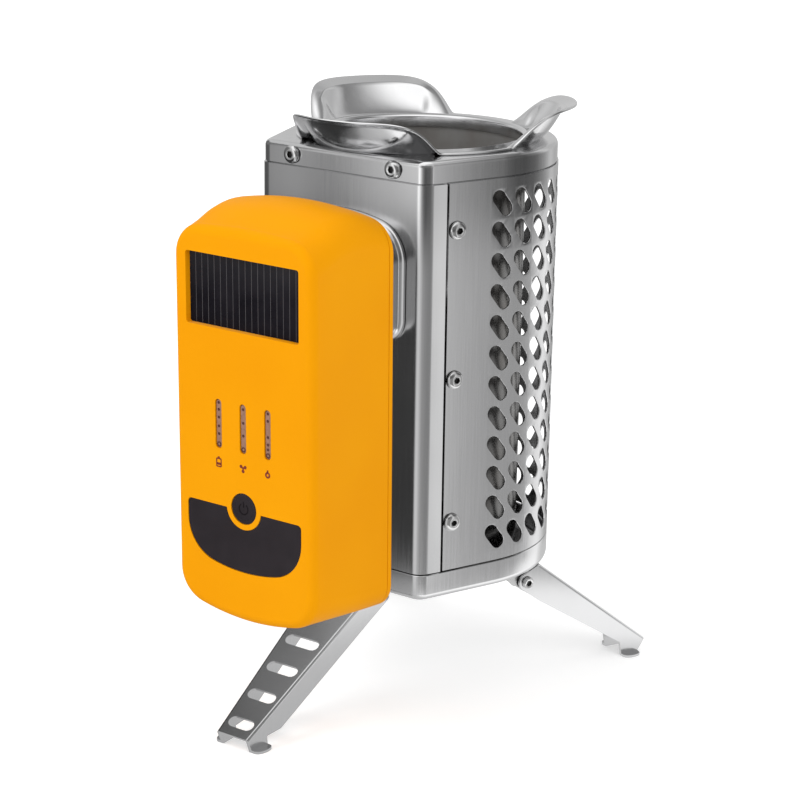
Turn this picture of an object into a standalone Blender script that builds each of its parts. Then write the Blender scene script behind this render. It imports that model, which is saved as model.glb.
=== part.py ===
"""Wood-burning camp stove on three folding legs, with a plug-in power pack. Lengths are in millimetres here.

The design's own zero is the middle of the base pan's flat underside, on the burn chamber's axis. The front
is -Y. The finished model is shifted so that it stands on z = 0 with the origin under the middle of its box.
"""

import math

import bmesh
import bpy
from mathutils import Matrix, Vector

MM = 0.001
GAP = 0.35

# Floor under the deployed feet, and the middle of the model's box from front to back
FLOOR_Z = -54.7
BOX_MIDDLE_Y = -21.85
MODEL_SHIFT = Vector((0.0, -BOX_MIDDLE_Y, -FLOOR_Z))

# Stove body in plan: two small front corners and two wide shoulders, joined by straight sides
FRONT_Y = -53.7
CORNER_RADIUS = 6.4
CORNER_X = 38.85
SHOULDER_RADIUS = 56.26
SHOULDER_X = 4.05
SHOULDER_Y = 2.38

# Stove body in height
PAN_HEIGHT = 11.9
CAP_BOTTOM = 180.7
BODY_TOP = 190.0
SHEET = 1.0
PAN_EDGE_RADIUS = 3.0
CAP_EDGE_RADIUS = 2.5
CAP_INSET = 0.5

# Seam between the front shell and the heat mesh, as a length along the outline from the front centre
SEAM_LENGTH = 53.45
SEAM_GAP = 0.7

# Heat mesh: slanted obround slots
MESH_ROWS = 12
MESH_ROW_PITCH = 13.35
MESH_TOP_ROW = 169.8
MESH_FIRST_COLUMN = 81.0
MESH_COLUMNS = 20
SLOT_LENGTH = 12.6
SLOT_WIDTH = 6.4
SLOT_SLANT = math.radians(38)
SLOT_END_POINTS = 3

# Burn chamber and pot support
MOUTH_RADIUS = 47.1
MOUTH_Y = 1.0
CHAMBER_RADIUS = 45.5
FLOOR_HEIGHT = 24.0
LIP_RADIUS = 53.0
PETAL_REACH = 69.85
PETAL_TOP = 205.4
PETAL_ANGLES = (32.9, 149.3, 275.8)
PETAL_HALF_SPAN = 40.25

# Docking collar and what passes through it
COLLAR_HALF_WIDTH = 32.0
COLLAR_LOW = 114.0
COLLAR_HIGH = 164.4
COLLAR_CROWN = 80.0
COLLAR_LOW_CORNER = 9.0
COLLAR_HIGH_CORNER = 15.0
COLLAR_DEPTH = 11.3
SPIGOT_GAP = 1.6
SPIGOT_DEPTH = 8.5
PROBE_Z = 144.0
PROBE_RADIUS = 5.0
PROBE_TIP_Y = -21.0
NOZZLE_Z = 124.0

# Power pack. Its face leans back a little towards the foot, measured from the probe's height.
PACK_FRONT_Y = -118.5
PACK_BACK_Y = -66.0
PACK_SEAM_DEPTH = 48.8
PACK_LEAN = 0.009
PACK_WALL = 2.0
PACK_SIDE_ROUND = 4.0
PACK_TOP_ROUND = 5.1
PACK_FACE_CROWN = 600.0
PACK_LOW_CROWN = 108.0
PACK_HIGH_CORNER = 13.8

# Power pack sections: depth behind the face, top, bottom, half width, top crown radius, lower corner radius
PACK_SECTIONS = (
    (4.0, 167.3, -0.3, 36.7, 260.0, 15.0),
    (8.5, 169.4, -0.6, 36.8, 160.0, 14.4),
    (17.5, 173.4, -1.4, 36.9, 133.0, 13.2),
    (27.5, 175.2, -2.4, 37.0, 133.0, 12.4),
    (39.0, 174.0, -3.5, 37.2, 133.0, 11.6),
    (52.5, 169.8, -4.6, 37.4, 133.0, 11.0),
)

# Power pack front face
WINDOW_HALF_WIDTH = 29.5
WINDOW_LOW = 124.7
WINDOW_HIGH = 155.0
WINDOW_DEPTH = 2.6
CELL_THICKNESS = 0.8
PIPE_PITCH = 13.0
PIPE_LOW = 73.9
PIPE_HIGH = 94.7
PIPE_WIDTH = 3.1
PIPE_RECESS = 0.4
BUTTON_Z = 50.0
BUTTON_RADIUS = 6.35
COVER_HALF_WIDTH = 30.0
COVER_LOW = 22.3
COVER_HIGH = 48.8
COVER_SCOOP = 9.4
COVER_THICKNESS = 1.6
COVER_PROUD = 0.1
SOCKET_Z = 33.5
BOARD_DEPTH = 7.4
BOARD_THICKNESS = 1.6

# Fan and thermoelectric stack, from the stove outwards
STACK_LOW = PROBE_Z - 18.0
STACK_HIGH = PROBE_Z + 12.0
FAN_Z = 140.0
FAN_SIZE = 40.0
FAN_DEPTH = 10.0
FAN_BLADES = 7

# Legs: direction in plan, slope below level, pivot place, height of the web over the pivot, lengths and widths
LEG_SHEET = 1.2
PIN_RADIUS = 1.5
FRONT_LEG = dict(
    turn=-90.0, slope=30.2, pivot=(0.0, -41.2, -6.8), web=7.0, length=94.0, root_half=15.0, foot_half=8.6,
    depth_root=11.3, depth_tip=11.3, foot_start=86.0, foot_width=3.4, root_round=4.5,
    slots=(40.0, 55.7, 71.4, 87.1),
)
REAR_LEG = dict(
    turn=66.0, slope=38.0, pivot=(45.7, 18.3, -8.4), web=10.0, length=77.1, root_half=8.5, foot_half=7.0,
    depth_root=13.7, depth_tip=8.4, foot_start=70.3, foot_width=3.5, root_round=4.0, slots=(34.0, 46.0, 58.0),
)
BRACKET_BACK = -14.0

STEEL = dict(color=(0.62, 0.62, 0.62), rough=0.32, metal=1.0)
BRIGHT = dict(color=(0.78, 0.78, 0.78), rough=0.15, metal=1.0)
DARK_STEEL = dict(color=(0.35, 0.34, 0.33), rough=0.45, metal=1.0)
YELLOW = dict(color=(0.95, 0.38, 0.0), rough=0.45, metal=0.0)
CHARCOAL = dict(color=(0.04, 0.035, 0.038), rough=0.6, metal=0.0)
CELL_BLACK = dict(color=(0.01, 0.01, 0.012), rough=0.12, metal=0.0)
SMOKE = dict(color=(0.35, 0.22, 0.2), rough=0.3, metal=0.0)
GREEN = dict(color=(0.02, 0.12, 0.05), rough=0.5, metal=0.0)
COPPER = dict(color=(0.6, 0.3, 0.18), rough=0.35, metal=1.0)
CERAMIC = dict(color=(0.8, 0.8, 0.78), rough=0.5, metal=0.0)
BLUE = dict(color=(0.03, 0.15, 0.4), rough=0.4, metal=0.0)


def clear_scene():
    for item in list(bpy.data.objects):
        bpy.data.objects.remove(item, do_unlink=True)


def leaned(lean):
    """Shear that moves what is below the probe's height backwards, by lean millimetres for each millimetre."""
    shear = Matrix.Identity(4)
    shear[1][2] = -lean
    shear[1][3] = lean * PROBE_Z
    return shear


def make_material(name, color, rough, metal):
    material = bpy.data.materials.new(name)
    material.use_nodes = True
    shader = material.node_tree.nodes["Principled BSDF"]
    shader.inputs["Base Color"].default_value = (*color, 1.0)
    shader.inputs["Roughness"].default_value = rough
    shader.inputs["Metallic"].default_value = metal
    return material


def finish_object(name, mesh, look, origin=(0.0, 0.0, 0.0), smooth=True, lean=0.0):
    """Puts a millimetre mesh in the scene in metres, with its origin at the given point."""
    origin = leaned(lean) @ Vector(origin)
    mesh.transform(Matrix.Scale(MM, 4) @ Matrix.Translation(-origin) @ leaned(lean))
    item = bpy.data.objects.new(name, mesh)
    item.location = (origin + MODEL_SHIFT) * MM
    bpy.context.scene.collection.objects.link(item)
    mesh.materials.append(make_material(name, **look))
    if smooth:
        mesh.shade_smooth()
        mesh.set_sharp_from_angle(angle=math.radians(32))
    return item


def mesh_from(name, builder, closed=True):
    """Runs a function that fills a bmesh, turns a closed body's faces outwards and returns the mesh."""
    form = bmesh.new()
    builder(form)
    if closed:
        bmesh.ops.recalc_face_normals(form, faces=form.faces)
    mesh = bpy.data.meshes.new(name)
    form.to_mesh(mesh)
    form.free()
    return mesh


def add_rings(form, rings, closed=True, cap_start=True, cap_end=True):
    """Skins a list of equally long point rings. With closed False each ring is an open strip."""
    rows = [[form.verts.new(point) for point in ring] for ring in rings]
    count = len(rows[0])
    last = count if closed else count - 1
    for lower, upper in zip(rows, rows[1:]):
        for index in range(last):
            following = (index + 1) % count
            form.faces.new((lower[index], lower[following], upper[following], upper[index]))
    if cap_start:
        form.faces.new(list(reversed(rows[0])))
    if cap_end:
        form.faces.new(rows[-1])
    return rows


def close_loop_of_rings(form, rings):
    """Skins rings whose last one joins back to the first, such as a hollow wall."""
    rows = [[form.verts.new(point) for point in ring] for ring in rings]
    count = len(rows[0])
    for step, lower in enumerate(rows):
        upper = rows[(step + 1) % len(rows)]
        for index in range(count):
            following = (index + 1) % count
            form.faces.new((lower[index], lower[following], upper[following], upper[index]))


def add_box(form, low, high):
    corners = [
        Vector((high[0] if bits & 1 else low[0], high[1] if bits & 2 else low[1], high[2] if bits & 4 else low[2]))
        for bits in range(8)
    ]
    verts = [form.verts.new(corner) for corner in corners]
    for face in ((0, 2, 3, 1), (4, 5, 7, 6), (0, 1, 5, 4), (2, 6, 7, 3), (0, 4, 6, 2), (1, 3, 7, 5)):
        form.faces.new([verts[index] for index in face])


def turned(profile, segments, centre=(0.0, 0.0)):
    """Rings for a solid turned about a vertical axis from (radius, height) pairs."""
    return [
        [
            (
                centre[0] + radius * math.cos(2 * math.pi * step / segments),
                centre[1] + radius * math.sin(2 * math.pi * step / segments),
                height,
            )
            for step in range(segments)
        ]
        for radius, height in profile
    ]


def aim(direction):
    """Rotation that turns +Z to the given direction."""
    return Vector((0, 0, 1)).rotation_difference(Vector(direction)).to_matrix().to_4x4()


def arc(centre, radius, start, end, steps):
    """Points along an arc; the angles are in radians."""
    return [
        (
            centre[0] + radius * math.cos(start + (end - start) * step / steps),
            centre[1] + radius * math.sin(start + (end - start) * step / steps),
        )
        for step in range(steps + 1)
    ]


def side_normal_angle():
    """Direction in which the straight side wall faces, from its tangency to the corner and shoulder arcs."""
    across = CORNER_X - SHOULDER_X
    along = FRONT_Y + CORNER_RADIUS - SHOULDER_Y
    span = math.hypot(across, along)
    return math.atan2(along, across) + math.acos((SHOULDER_RADIUS - CORNER_RADIUS) / span)


def body_half(inset, corner_steps, shoulder_steps):
    """Right half of the plan outline, from the front corner round to the back centre."""
    corner = (CORNER_X, FRONT_Y + CORNER_RADIUS)
    shoulder = (SHOULDER_X, SHOULDER_Y)
    turn = side_normal_angle()
    half = arc(corner, CORNER_RADIUS - inset, -math.pi / 2, turn, corner_steps)
    return half + arc(shoulder, SHOULDER_RADIUS - inset, turn, math.pi / 2, shoulder_steps)


def body_outline(inset=0.0, corner_steps=3, shoulder_steps=10):
    """Closed plan outline, anticlockwise from the front right corner."""
    half = body_half(inset, corner_steps, shoulder_steps)
    return half + [(-x, y) for x, y in reversed(half)]


def at_height(outline, height):
    return [(x, y, height) for x, y in outline]


class OutlinePath:
    """The plan outline measured by length from the front centre, positive towards the right."""

    def __init__(self):
        half = [(0.0, FRONT_Y)] + body_half(0.0, 8, 48)
        self.points = half + [(-x, y) for x, y in reversed(half[1:])]
        self.lengths = [0.0]
        for first, second in zip(self.points, self.points[1:]):
            self.lengths.append(self.lengths[-1] + math.dist(first, second))
        self.total = self.lengths[-1] + math.dist(self.points[-1], self.points[0])

    def place(self, length, inset=0.0):
        """Point at a length along the outline, moved inwards by inset."""
        length %= self.total
        index = max(i for i, value in enumerate(self.lengths) if value <= length)
        start = Vector(self.points[index])
        end = Vector(self.points[(index + 1) % len(self.points)])
        run = (end - start).normalized()
        spot = start + run * (length - self.lengths[index])
        inward = Vector((-run.y, run.x))
        return spot + inward * inset


def build_base_pan():
    radius = PAN_EDGE_RADIUS
    top = PAN_HEIGHT - GAP
    steps = (0, 30, 60, 90)
    outer = [
        (radius * (1 - math.sin(math.radians(a))), radius * (1 - math.cos(math.radians(a)))) for a in steps
    ]
    inner_radius = radius - SHEET
    inner = [
        (SHEET + inner_radius * (1 - math.sin(math.radians(a))), SHEET + inner_radius * (1 - math.cos(math.radians(a))))
        for a in reversed(steps)
    ]
    profile = outer + [(0.0, top), (SHEET, top)] + inner
    rings = [at_height(body_outline(inset), height) for inset, height in profile]
    mesh = mesh_from("base_pan", lambda form: add_rings(form, rings))
    return finish_object("base_pan", mesh, STEEL)


def build_front_shell(path):
    """U-shaped sheet with a rounded aperture behind the docking collar."""
    low = PAN_HEIGHT + GAP
    high = CAP_BOTTOM - GAP
    half = SEAM_LENGTH - SEAM_GAP / 2
    corner = CORNER_X
    bend = CORNER_RADIUS * (side_normal_angle() + math.pi / 2)
    lengths = [0.0, corner] + [corner + bend * step / 4 for step in range(1, 5)] + [half]
    lengths = sorted({-value for value in lengths} | set(lengths))
    outer = [path.place(value) for value in lengths]
    inner = [path.place(value, SHEET) for value in reversed(lengths)]
    ring = [tuple(point) for point in outer + inner]
    rings = [at_height(ring, low), at_height(ring, high)]
    item = finish_object("front_shell", mesh_from("front_shell", lambda form: add_rings(form, rings)), STEEL)
    aperture = rounded_slab(COLLAR_HALF_WIDTH - 9, COLLAR_LOW + 8, COLLAR_HIGH - 8, 8.0, FRONT_Y - 3, FRONT_Y + 4)
    cut_with(item, cutter("front_shell_aperture", aperture))
    return item


def slab(outline, near_y, far_y):
    """A block with the given outline in the XZ plane."""
    rings = [[(x, y, z) for x, z in outline] for y in (near_y, far_y)]
    return mesh_from("slab", lambda form: add_rings(form, rings))


def rounded_slab(half_width, low, high, radius, near_y, far_y, steps=4):
    """A rounded-rectangle block standing in the XZ plane."""
    outline = (
        arc((half_width - radius, low + radius), radius, -math.pi / 2, 0, steps)
        + arc((half_width - radius, high - radius), radius, 0, math.pi / 2, steps)
        + arc((-half_width + radius, high - radius), radius, math.pi / 2, math.pi, steps)
        + arc((-half_width + radius, low + radius), radius, math.pi, 1.5 * math.pi, steps)
    )
    return slab(outline, near_y, far_y)


def cutter(name, mesh, lean=0.0):
    """A hidden tool that is cut away from a piece or joined to it."""
    mesh.transform(Matrix.Scale(MM, 4) @ Matrix.Translation(MODEL_SHIFT) @ leaned(lean))
    item = bpy.data.objects.new(name, mesh)
    bpy.context.scene.collection.objects.link(item)
    item.hide_render = True
    item.display_type = "WIRE"
    return item


def cut_with(item, tool, operation="DIFFERENCE"):
    modifier = item.modifiers.new(tool.name, "BOOLEAN")
    modifier.operation = operation
    modifier.solver = "EXACT"
    modifier.object = tool


def slot_outline(length, width, slant, end_points):
    """Obround outline round the origin, leaning by slant from upright, anticlockwise."""
    straight = (length - width) / 2
    outline = []
    for end in (1, -1):
        for step in range(end_points):
            angle = math.pi * (step + 0.5) / end_points + (0 if end > 0 else math.pi)
            outline.append(Vector((width / 2 * math.cos(angle), end * straight + width / 2 * math.sin(angle))))
    turn = Matrix.Rotation(slant, 2)
    return [turn @ point for point in outline]


def perforated_wall(form, columns, rows, holes, place, thickness):
    """A curved wall on a grid of cells, some with a hole.

    columns and rows are the cell borders. holes maps (column, row) to an outline in wall coordinates.
    place turns (length, height, inset) into a point of the wall.
    """
    grid = {}
    for depth in (0.0, thickness):
        for c, length in enumerate(columns):
            for r, height in enumerate(rows):
                grid[depth, c, r] = form.verts.new(place(length, height, depth))
    for c in range(len(columns) - 1):
        for r in range(len(rows) - 1):
            corners = {
                depth: [grid[depth, c, r], grid[depth, c + 1, r], grid[depth, c + 1, r + 1], grid[depth, c, r + 1]]
                for depth in (0.0, thickness)
            }
            if (c, r) not in holes:
                for depth in corners:
                    form.faces.new(corners[depth])
                continue
            rims = {}
            flat = [(columns[c + (k in (1, 2))], rows[r + (k in (2, 3))]) for k in range(4)]
            for depth in corners:
                rims[depth] = [form.verts.new(place(x, z, depth)) for x, z in holes[c, r]]
                join_cell(form, corners[depth], flat, rims[depth], holes[c, r])
            count = len(holes[c, r])
            for k in range(count):
                nxt = (k + 1) % count
                form.faces.new((rims[0.0][k], rims[0.0][nxt], rims[thickness][nxt], rims[thickness][k]))
    edge_columns = (0, len(columns) - 1)
    for c in edge_columns:
        for r in range(len(rows) - 1):
            form.faces.new((grid[0.0, c, r], grid[0.0, c, r + 1], grid[thickness, c, r + 1], grid[thickness, c, r]))
    for r in (0, len(rows) - 1):
        for c in range(len(columns) - 1):
            form.faces.new((grid[0.0, c, r], grid[0.0, c + 1, r], grid[thickness, c + 1, r], grid[thickness, c, r]))


def join_cell(form, corners, flat, rim, outline):
    """Fills a cell between its four corners and the rim of its hole. Each rim edge joins the corner it faces."""
    middle = sum(outline, Vector((0.0, 0.0))) / len(outline)

    def bearing(x, y):
        return math.atan2(y, x)

    def faced_corner(start, end):
        outward = bearing(end.y - start.y, start.x - end.x)
        turns = [outward - bearing(x - middle.x, y - middle.y) for x, y in flat]
        gaps = [abs((turn + math.pi) % (2 * math.pi) - math.pi) for turn in turns]
        return gaps.index(min(gaps))

    count = len(rim)
    owners = [faced_corner(outline[k], outline[(k + 1) % count]) for k in range(count)]
    for k in range(count):
        nxt = (k + 1) % count
        form.faces.new((corners[owners[k]], rim[k], rim[nxt]))
        step = owners[k]
        while step != owners[nxt]:
            following = (step + 1) % 4
            form.faces.new((corners[step], rim[nxt], corners[following]))
            step = following


def build_heat_mesh(path):
    """The perforated guard: a sheet wrapped round the sides and back, with slanted slots on a regular grid."""
    low = PAN_HEIGHT + GAP
    high = CAP_BOTTOM - GAP
    start = SEAM_LENGTH + SEAM_GAP / 2
    end = path.total - start
    pitch = (path.total - 2 * MESH_FIRST_COLUMN) / (MESH_COLUMNS - 1)
    first = MESH_FIRST_COLUMN - pitch / 2
    columns = [start, (start + first) / 2] + [first + pitch * k for k in range(MESH_COLUMNS + 1)]
    columns += [(end + columns[-1]) / 2, end]
    top = MESH_TOP_ROW + MESH_ROW_PITCH / 2
    rows = [low] + [top - MESH_ROW_PITCH * (MESH_ROWS - k) for k in range(MESH_ROWS + 1)] + [high]
    slot = slot_outline(SLOT_LENGTH, SLOT_WIDTH, SLOT_SLANT, SLOT_END_POINTS)
    holes = {}
    for k in range(MESH_COLUMNS):
        for r in range(MESH_ROWS):
            centre = Vector((MESH_FIRST_COLUMN + pitch * k, rows[r + 1] + MESH_ROW_PITCH / 2))
            holes[k + 2, r + 1] = [centre + point for point in slot]

    def place(length, height, inset):
        spot = path.place(length, inset)
        return Vector((spot.x, spot.y, height))

    mesh = mesh_from("heat_mesh", lambda form: perforated_wall(form, columns, rows, holes, place, SHEET))
    return finish_object("heat_mesh", mesh, STEEL)


def build_top_cap():
    """Flat lid with a rounded edge and a skirt; its round mouth is bridged to the body outline."""
    radius = CAP_EDGE_RADIUS
    steps = (0, 45, 90)
    mouth = MOUTH_RADIUS + 0.6

    def ring(inset, height):
        return at_height(body_outline(CAP_INSET + inset), height)

    def mouth_ring(height):
        points = []
        for x, y in body_outline():
            angle = math.atan2(y - MOUTH_Y, x)
            points.append((mouth * math.cos(angle), MOUTH_Y + mouth * math.sin(angle), height))
        return points

    outer = [
        ring(radius * (1 - math.sin(math.radians(a))), BODY_TOP - radius * (1 - math.cos(math.radians(a))))
        for a in steps
    ]
    inner_radius = radius - SHEET
    inner = [
        ring(
            SHEET + inner_radius * (1 - math.sin(math.radians(a))),
            BODY_TOP - SHEET - inner_radius * (1 - math.cos(math.radians(a))),
        )
        for a in reversed(steps)
    ]
    rings = [mouth_ring(BODY_TOP)] + outer + [ring(0, CAP_BOTTOM), ring(SHEET, CAP_BOTTOM)] + inner
    rings.append(mouth_ring(BODY_TOP - SHEET))
    mesh = mesh_from("top_cap", lambda form: close_loop_of_rings(form, rings))
    return finish_object("top_cap", mesh, STEEL)


def build_burn_chamber():
    """Inner cylinder that stands on the pan, with air holes low and high and one hole for the heat probe."""
    segments = 24
    wall = 0.8
    low_hole_z = 34.0
    high_hole_z = 172.0
    air_radius = 2.6
    probe_hole = PROBE_RADIUS + 1.6
    top = BODY_TOP - SHEET - GAP
    cell_half = math.pi * CHAMBER_RADIUS / segments
    rows = [SHEET + GAP, low_hole_z - cell_half, low_hole_z + cell_half]
    rows += [high_hole_z - cell_half, high_hole_z + cell_half, top]
    columns = [2 * cell_half * k for k in range(segments + 1)]
    holes = {}
    for c in range(segments):
        middle = (columns[c] + columns[c + 1]) / 2
        for r, height in ((1, low_hole_z), (3, high_hole_z)):
            if c % 2 == 0:
                holes[c, r] = [
                    Vector((middle, height)) + point for point in slot_outline(2 * air_radius, 2 * air_radius, 0, 3)
                ]

    def place(length, height, inset):
        angle = length / CHAMBER_RADIUS
        radius = CHAMBER_RADIUS + wall - inset
        return Vector((radius * math.cos(angle), MOUTH_Y + radius * math.sin(angle), height))

    def builder(form):
        perforated_wall(form, columns, rows, holes, place, wall)
        seam_faces = [
            face
            for face in form.faces
            if all(abs(v.co.y - MOUTH_Y) < 1e-4 and v.co.x > 0 for v in face.verts)
        ]
        bmesh.ops.delete(form, geom=seam_faces, context="FACES_ONLY")
        bmesh.ops.remove_doubles(form, verts=form.verts, dist=1e-3)

    item = finish_object("burn_chamber", mesh_from("burn_chamber", builder), DARK_STEEL)
    drill = mesh_from("drill", lambda form: add_rings(form, turned([(probe_hole, 30), (probe_hole, 70)], 12)))
    drill.transform(Matrix.Translation((0, 0, PROBE_Z)) @ aim((0, -1, 0)))
    cut_with(item, cutter("burn_chamber_probe_hole", drill))
    return item


def disc_with_holes(name, radius, thickness, height, hole_places, hole_radius, segments):
    """Round plate with round holes, extruded from a filled outline."""

    def builder(form):
        loops = [arc((0, MOUTH_Y), radius, 0, 2 * math.pi, segments)[:-1]]
        for x, y in hole_places:
            loops.append(arc((x, MOUTH_Y + y), hole_radius, 0, 2 * math.pi, 6)[:-1])
        fill_and_thicken(form, loops, height, thickness)

    return mesh_from(name, builder)


def fill_and_thicken(form, loops, height, thickness):
    """Fills an outline with holes at one height and extrudes it upwards."""
    edges = []
    for loop in loops:
        verts = [form.verts.new((x, y, height)) for x, y in loop]
        for k, vert in enumerate(verts):
            edges.append(form.edges.new((vert, verts[(k + 1) % len(verts)])))
    bmesh.ops.triangle_fill(form, use_beauty=True, use_dissolve=False, edges=edges)
    faces = list(form.faces)
    grown = bmesh.ops.extrude_face_region(form, geom=faces, use_keep_orig=True)
    moved = [item for item in grown["geom"] if isinstance(item, bmesh.types.BMVert)]
    bmesh.ops.translate(form, verts=moved, vec=(0, 0, thickness))


def build_chamber_floor():
    places = [(0.0, 0.0)]
    for count, radius in ((6, 18.0), (6, 32.0)):
        for k in range(count):
            angle = 2 * math.pi * (k + radius / 36) / count
            places.append((radius * math.cos(angle), radius * math.sin(angle)))
    mesh = disc_with_holes("chamber_floor", CHAMBER_RADIUS - GAP, SHEET, FLOOR_HEIGHT, places, 4.0, 24)
    return finish_object("chamber_floor", mesh, DARK_STEEL)


def petal_edge(angle):
    """Radius and height of the pot support's free edge in one direction."""
    lip_height = BODY_TOP + SHEET
    spread = min(abs((angle - centre + 180) % 360 - 180) for centre in PETAL_ANGLES) / PETAL_HALF_SPAN
    if spread >= 1.0:
        return LIP_RADIUS, lip_height
    reach = (1 - spread**2.45) ** 1.2
    rise = (1 - spread**5.3) ** 1.74
    return LIP_RADIUS + (PETAL_REACH - LIP_RADIUS) * reach, lip_height + (PETAL_TOP - lip_height) * rise


def petal_point(angle, share, lift):
    """Point of the pot support's sheet: share runs from the mouth to the free edge, lift is 0 below, 1 on top."""
    root_height = BODY_TOP + GAP
    steepness = 2.3
    edge_radius, edge_height = petal_edge(angle)
    run = edge_radius - MOUTH_RADIUS
    rise = edge_height - root_height
    slope = rise * steepness * (1 - share) ** (steepness - 1) / run
    tilt = math.atan(slope)
    radius = MOUTH_RADIUS + share * run - lift * SHEET * math.sin(tilt)
    height = root_height + rise * (1 - (1 - share) ** steepness) + lift * SHEET * math.cos(tilt)
    turn = math.radians(angle)
    return Vector((radius * math.cos(turn), MOUTH_Y + radius * math.sin(turn), height))


def petal_directions():
    """Directions round the mouth, closer together where a petal's edge turns down to the lip."""
    stations = (0.0, 0.25, 0.5, 0.7, 0.84, 0.94, 1.0)
    around = []
    for number, centre in enumerate(PETAL_ANGLES):
        around += [centre - PETAL_HALF_SPAN * share for share in reversed(stations[1:])]
        around += [centre + PETAL_HALF_SPAN * share for share in stations]
        following = PETAL_ANGLES[(number + 1) % len(PETAL_ANGLES)]
        gap_start = centre + PETAL_HALF_SPAN
        gap = (following - centre) % 360 - 2 * PETAL_HALF_SPAN
        gap_steps = 5
        around += [gap_start + gap * step / gap_steps for step in range(1, gap_steps)]
    return around


def build_pot_support():
    """One sheet ring with three petals, bent up and out, that hold a pot clear of the mouth."""
    shares = (0.0, 0.18, 0.4, 0.7, 1.0)
    angles = petal_directions()
    rings = [[petal_point(angle, share, 0) for angle in angles] for share in shares]
    rings += [[petal_point(angle, share, 1) for angle in angles] for share in reversed(shares)]
    mesh = mesh_from("pot_support", lambda form: close_loop_of_rings(form, rings))
    return finish_object("pot_support", mesh, BRIGHT)


def collar_outline(inset):
    """The collar's outline: flat below, crowned above, with wide upper corners."""
    return crowned_outline(
        COLLAR_HALF_WIDTH - inset, COLLAR_LOW + inset, COLLAR_HIGH - inset,
        0, COLLAR_CROWN - inset, COLLAR_LOW_CORNER - inset, COLLAR_HIGH_CORNER - inset,
    )


def build_docking_collar():
    """Drawn frame on the front face. Its edge next to the power pack is rolled inwards."""
    back = FRONT_Y - GAP
    front = FRONT_Y - COLLAR_DEPTH
    foot = 2.0
    profile = [(-foot, back), (-foot, back - SHEET), (0.0, back - SHEET - foot / 2), (0.0, front + 2.0)]
    profile += [(0.6, front + 0.6), (2.0, front), (2.0, front + SHEET), (SHEET + 0.6, front + 1.6)]
    profile += [(SHEET + 0.4, front + 2.6), (SHEET, back)]
    rings = [[(x, y, z) for x, z in collar_outline(inset)] for inset, y in profile]
    mesh = mesh_from("docking_collar", lambda form: close_loop_of_rings(form, rings))
    return finish_object("docking_collar", mesh, BRIGHT)


def screw_mesh(head_radius, head_height, socket_radius, shank_radius, shank_length, segments=8):
    """Button-head screw standing on the plane z = 0, with a hex socket in the head."""
    profile = [(shank_radius, -shank_length), (shank_radius, 0.0)] if shank_length else []
    profile += [(head_radius, 0.0)]
    profile += [(head_radius * 0.92, head_height * 0.45), (head_radius * 0.62, head_height)]
    profile += [(socket_radius, head_height), (socket_radius * 0.9, head_height * 0.35)]
    return mesh_from("screw", lambda form: add_rings(form, turned(profile, segments)))


def place_screw(name, spot, direction, **sizes):
    mesh = screw_mesh(**sizes)
    mesh.transform(Matrix.Translation(Vector(spot)) @ aim(direction))
    return finish_object(name, mesh, BRIGHT)


def build_body_screws(path):
    """Two screws on the cap's front and three down each edge of the heat mesh, each seated on its sheet."""
    sizes = dict(head_radius=3.9, head_height=2.0, socket_radius=1.3, shank_radius=1.4, shank_length=0.0)
    head_gap = 0.05
    for number, side in enumerate((-1, 1), start=1):
        spot = (side * 26.6, FRONT_Y + CAP_INSET - GAP - head_gap, (CAP_BOTTOM + BODY_TOP) / 2)
        place_screw(f"cap_screw_{number}", spot, (0, -1, 0), **sizes)
    for side, word in ((1, "right"), (-1, "left")):
        for number, height in enumerate((160.7, 96.8, 33.8), start=1):
            length = 58.1
            seat = path.place(length, -GAP)
            outward = path.place(length, -1.0) - path.place(length)
            spot = (side * seat.x, seat.y, height)
            place_screw(f"mesh_screw_{word}_{number}", spot, (side * outward.x, outward.y, 0), **sizes)


def leg_frame(leg):
    """Axes of a deployed leg: along it, across it and up through its web, with the pivot as origin."""
    turn = math.radians(leg["turn"])
    slope = math.radians(leg["slope"])
    outward = Vector((math.cos(turn), math.sin(turn), 0))
    along = outward * math.cos(slope) + Vector((0, 0, -math.sin(slope)))
    across = Vector((-math.sin(turn), math.cos(turn), 0))
    above = along.cross(across)
    if above.z < 0:
        above.negate()
    return Vector(leg["pivot"]), along, across, above, outward


def leg_half_width(leg, distance):
    share = distance / leg["length"]
    return leg["root_half"] + (leg["foot_half"] - leg["root_half"]) * share


def leg_side_profile(leg):
    """Outline of one flange as (along, up) from the pivot, from the web's root clockwise round to its tip."""
    slope = math.radians(leg["slope"])
    web = leg["web"]
    tip = leg["length"]

    def floor_up(distance):
        """Height over the pivot line at which a point this far along touches the floor."""
        drop = FLOOR_Z + LEG_SHEET - leg["pivot"][2]
        return (drop + distance * math.sin(slope)) / math.cos(slope)

    root = [(0.4, web)]
    for step in range(5):
        angle = math.pi - 0.15 * math.pi + step * (0.65 * math.pi / 4)
        root.append((leg["root_round"] * math.cos(angle), leg["root_round"] * math.sin(angle)))
    low_root = web - leg["depth_root"]
    low_tip = web - leg["depth_tip"]
    heel = leg["foot_start"]
    ankle = heel - 4.5 if leg["depth_tip"] < leg["depth_root"] else heel - 0.8
    lower = [(12.0, low_root), (ankle, low_tip), (heel, floor_up(heel)), (tip + 0.5, floor_up(tip + 0.5))]
    return root + lower + [(tip, web)]


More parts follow.
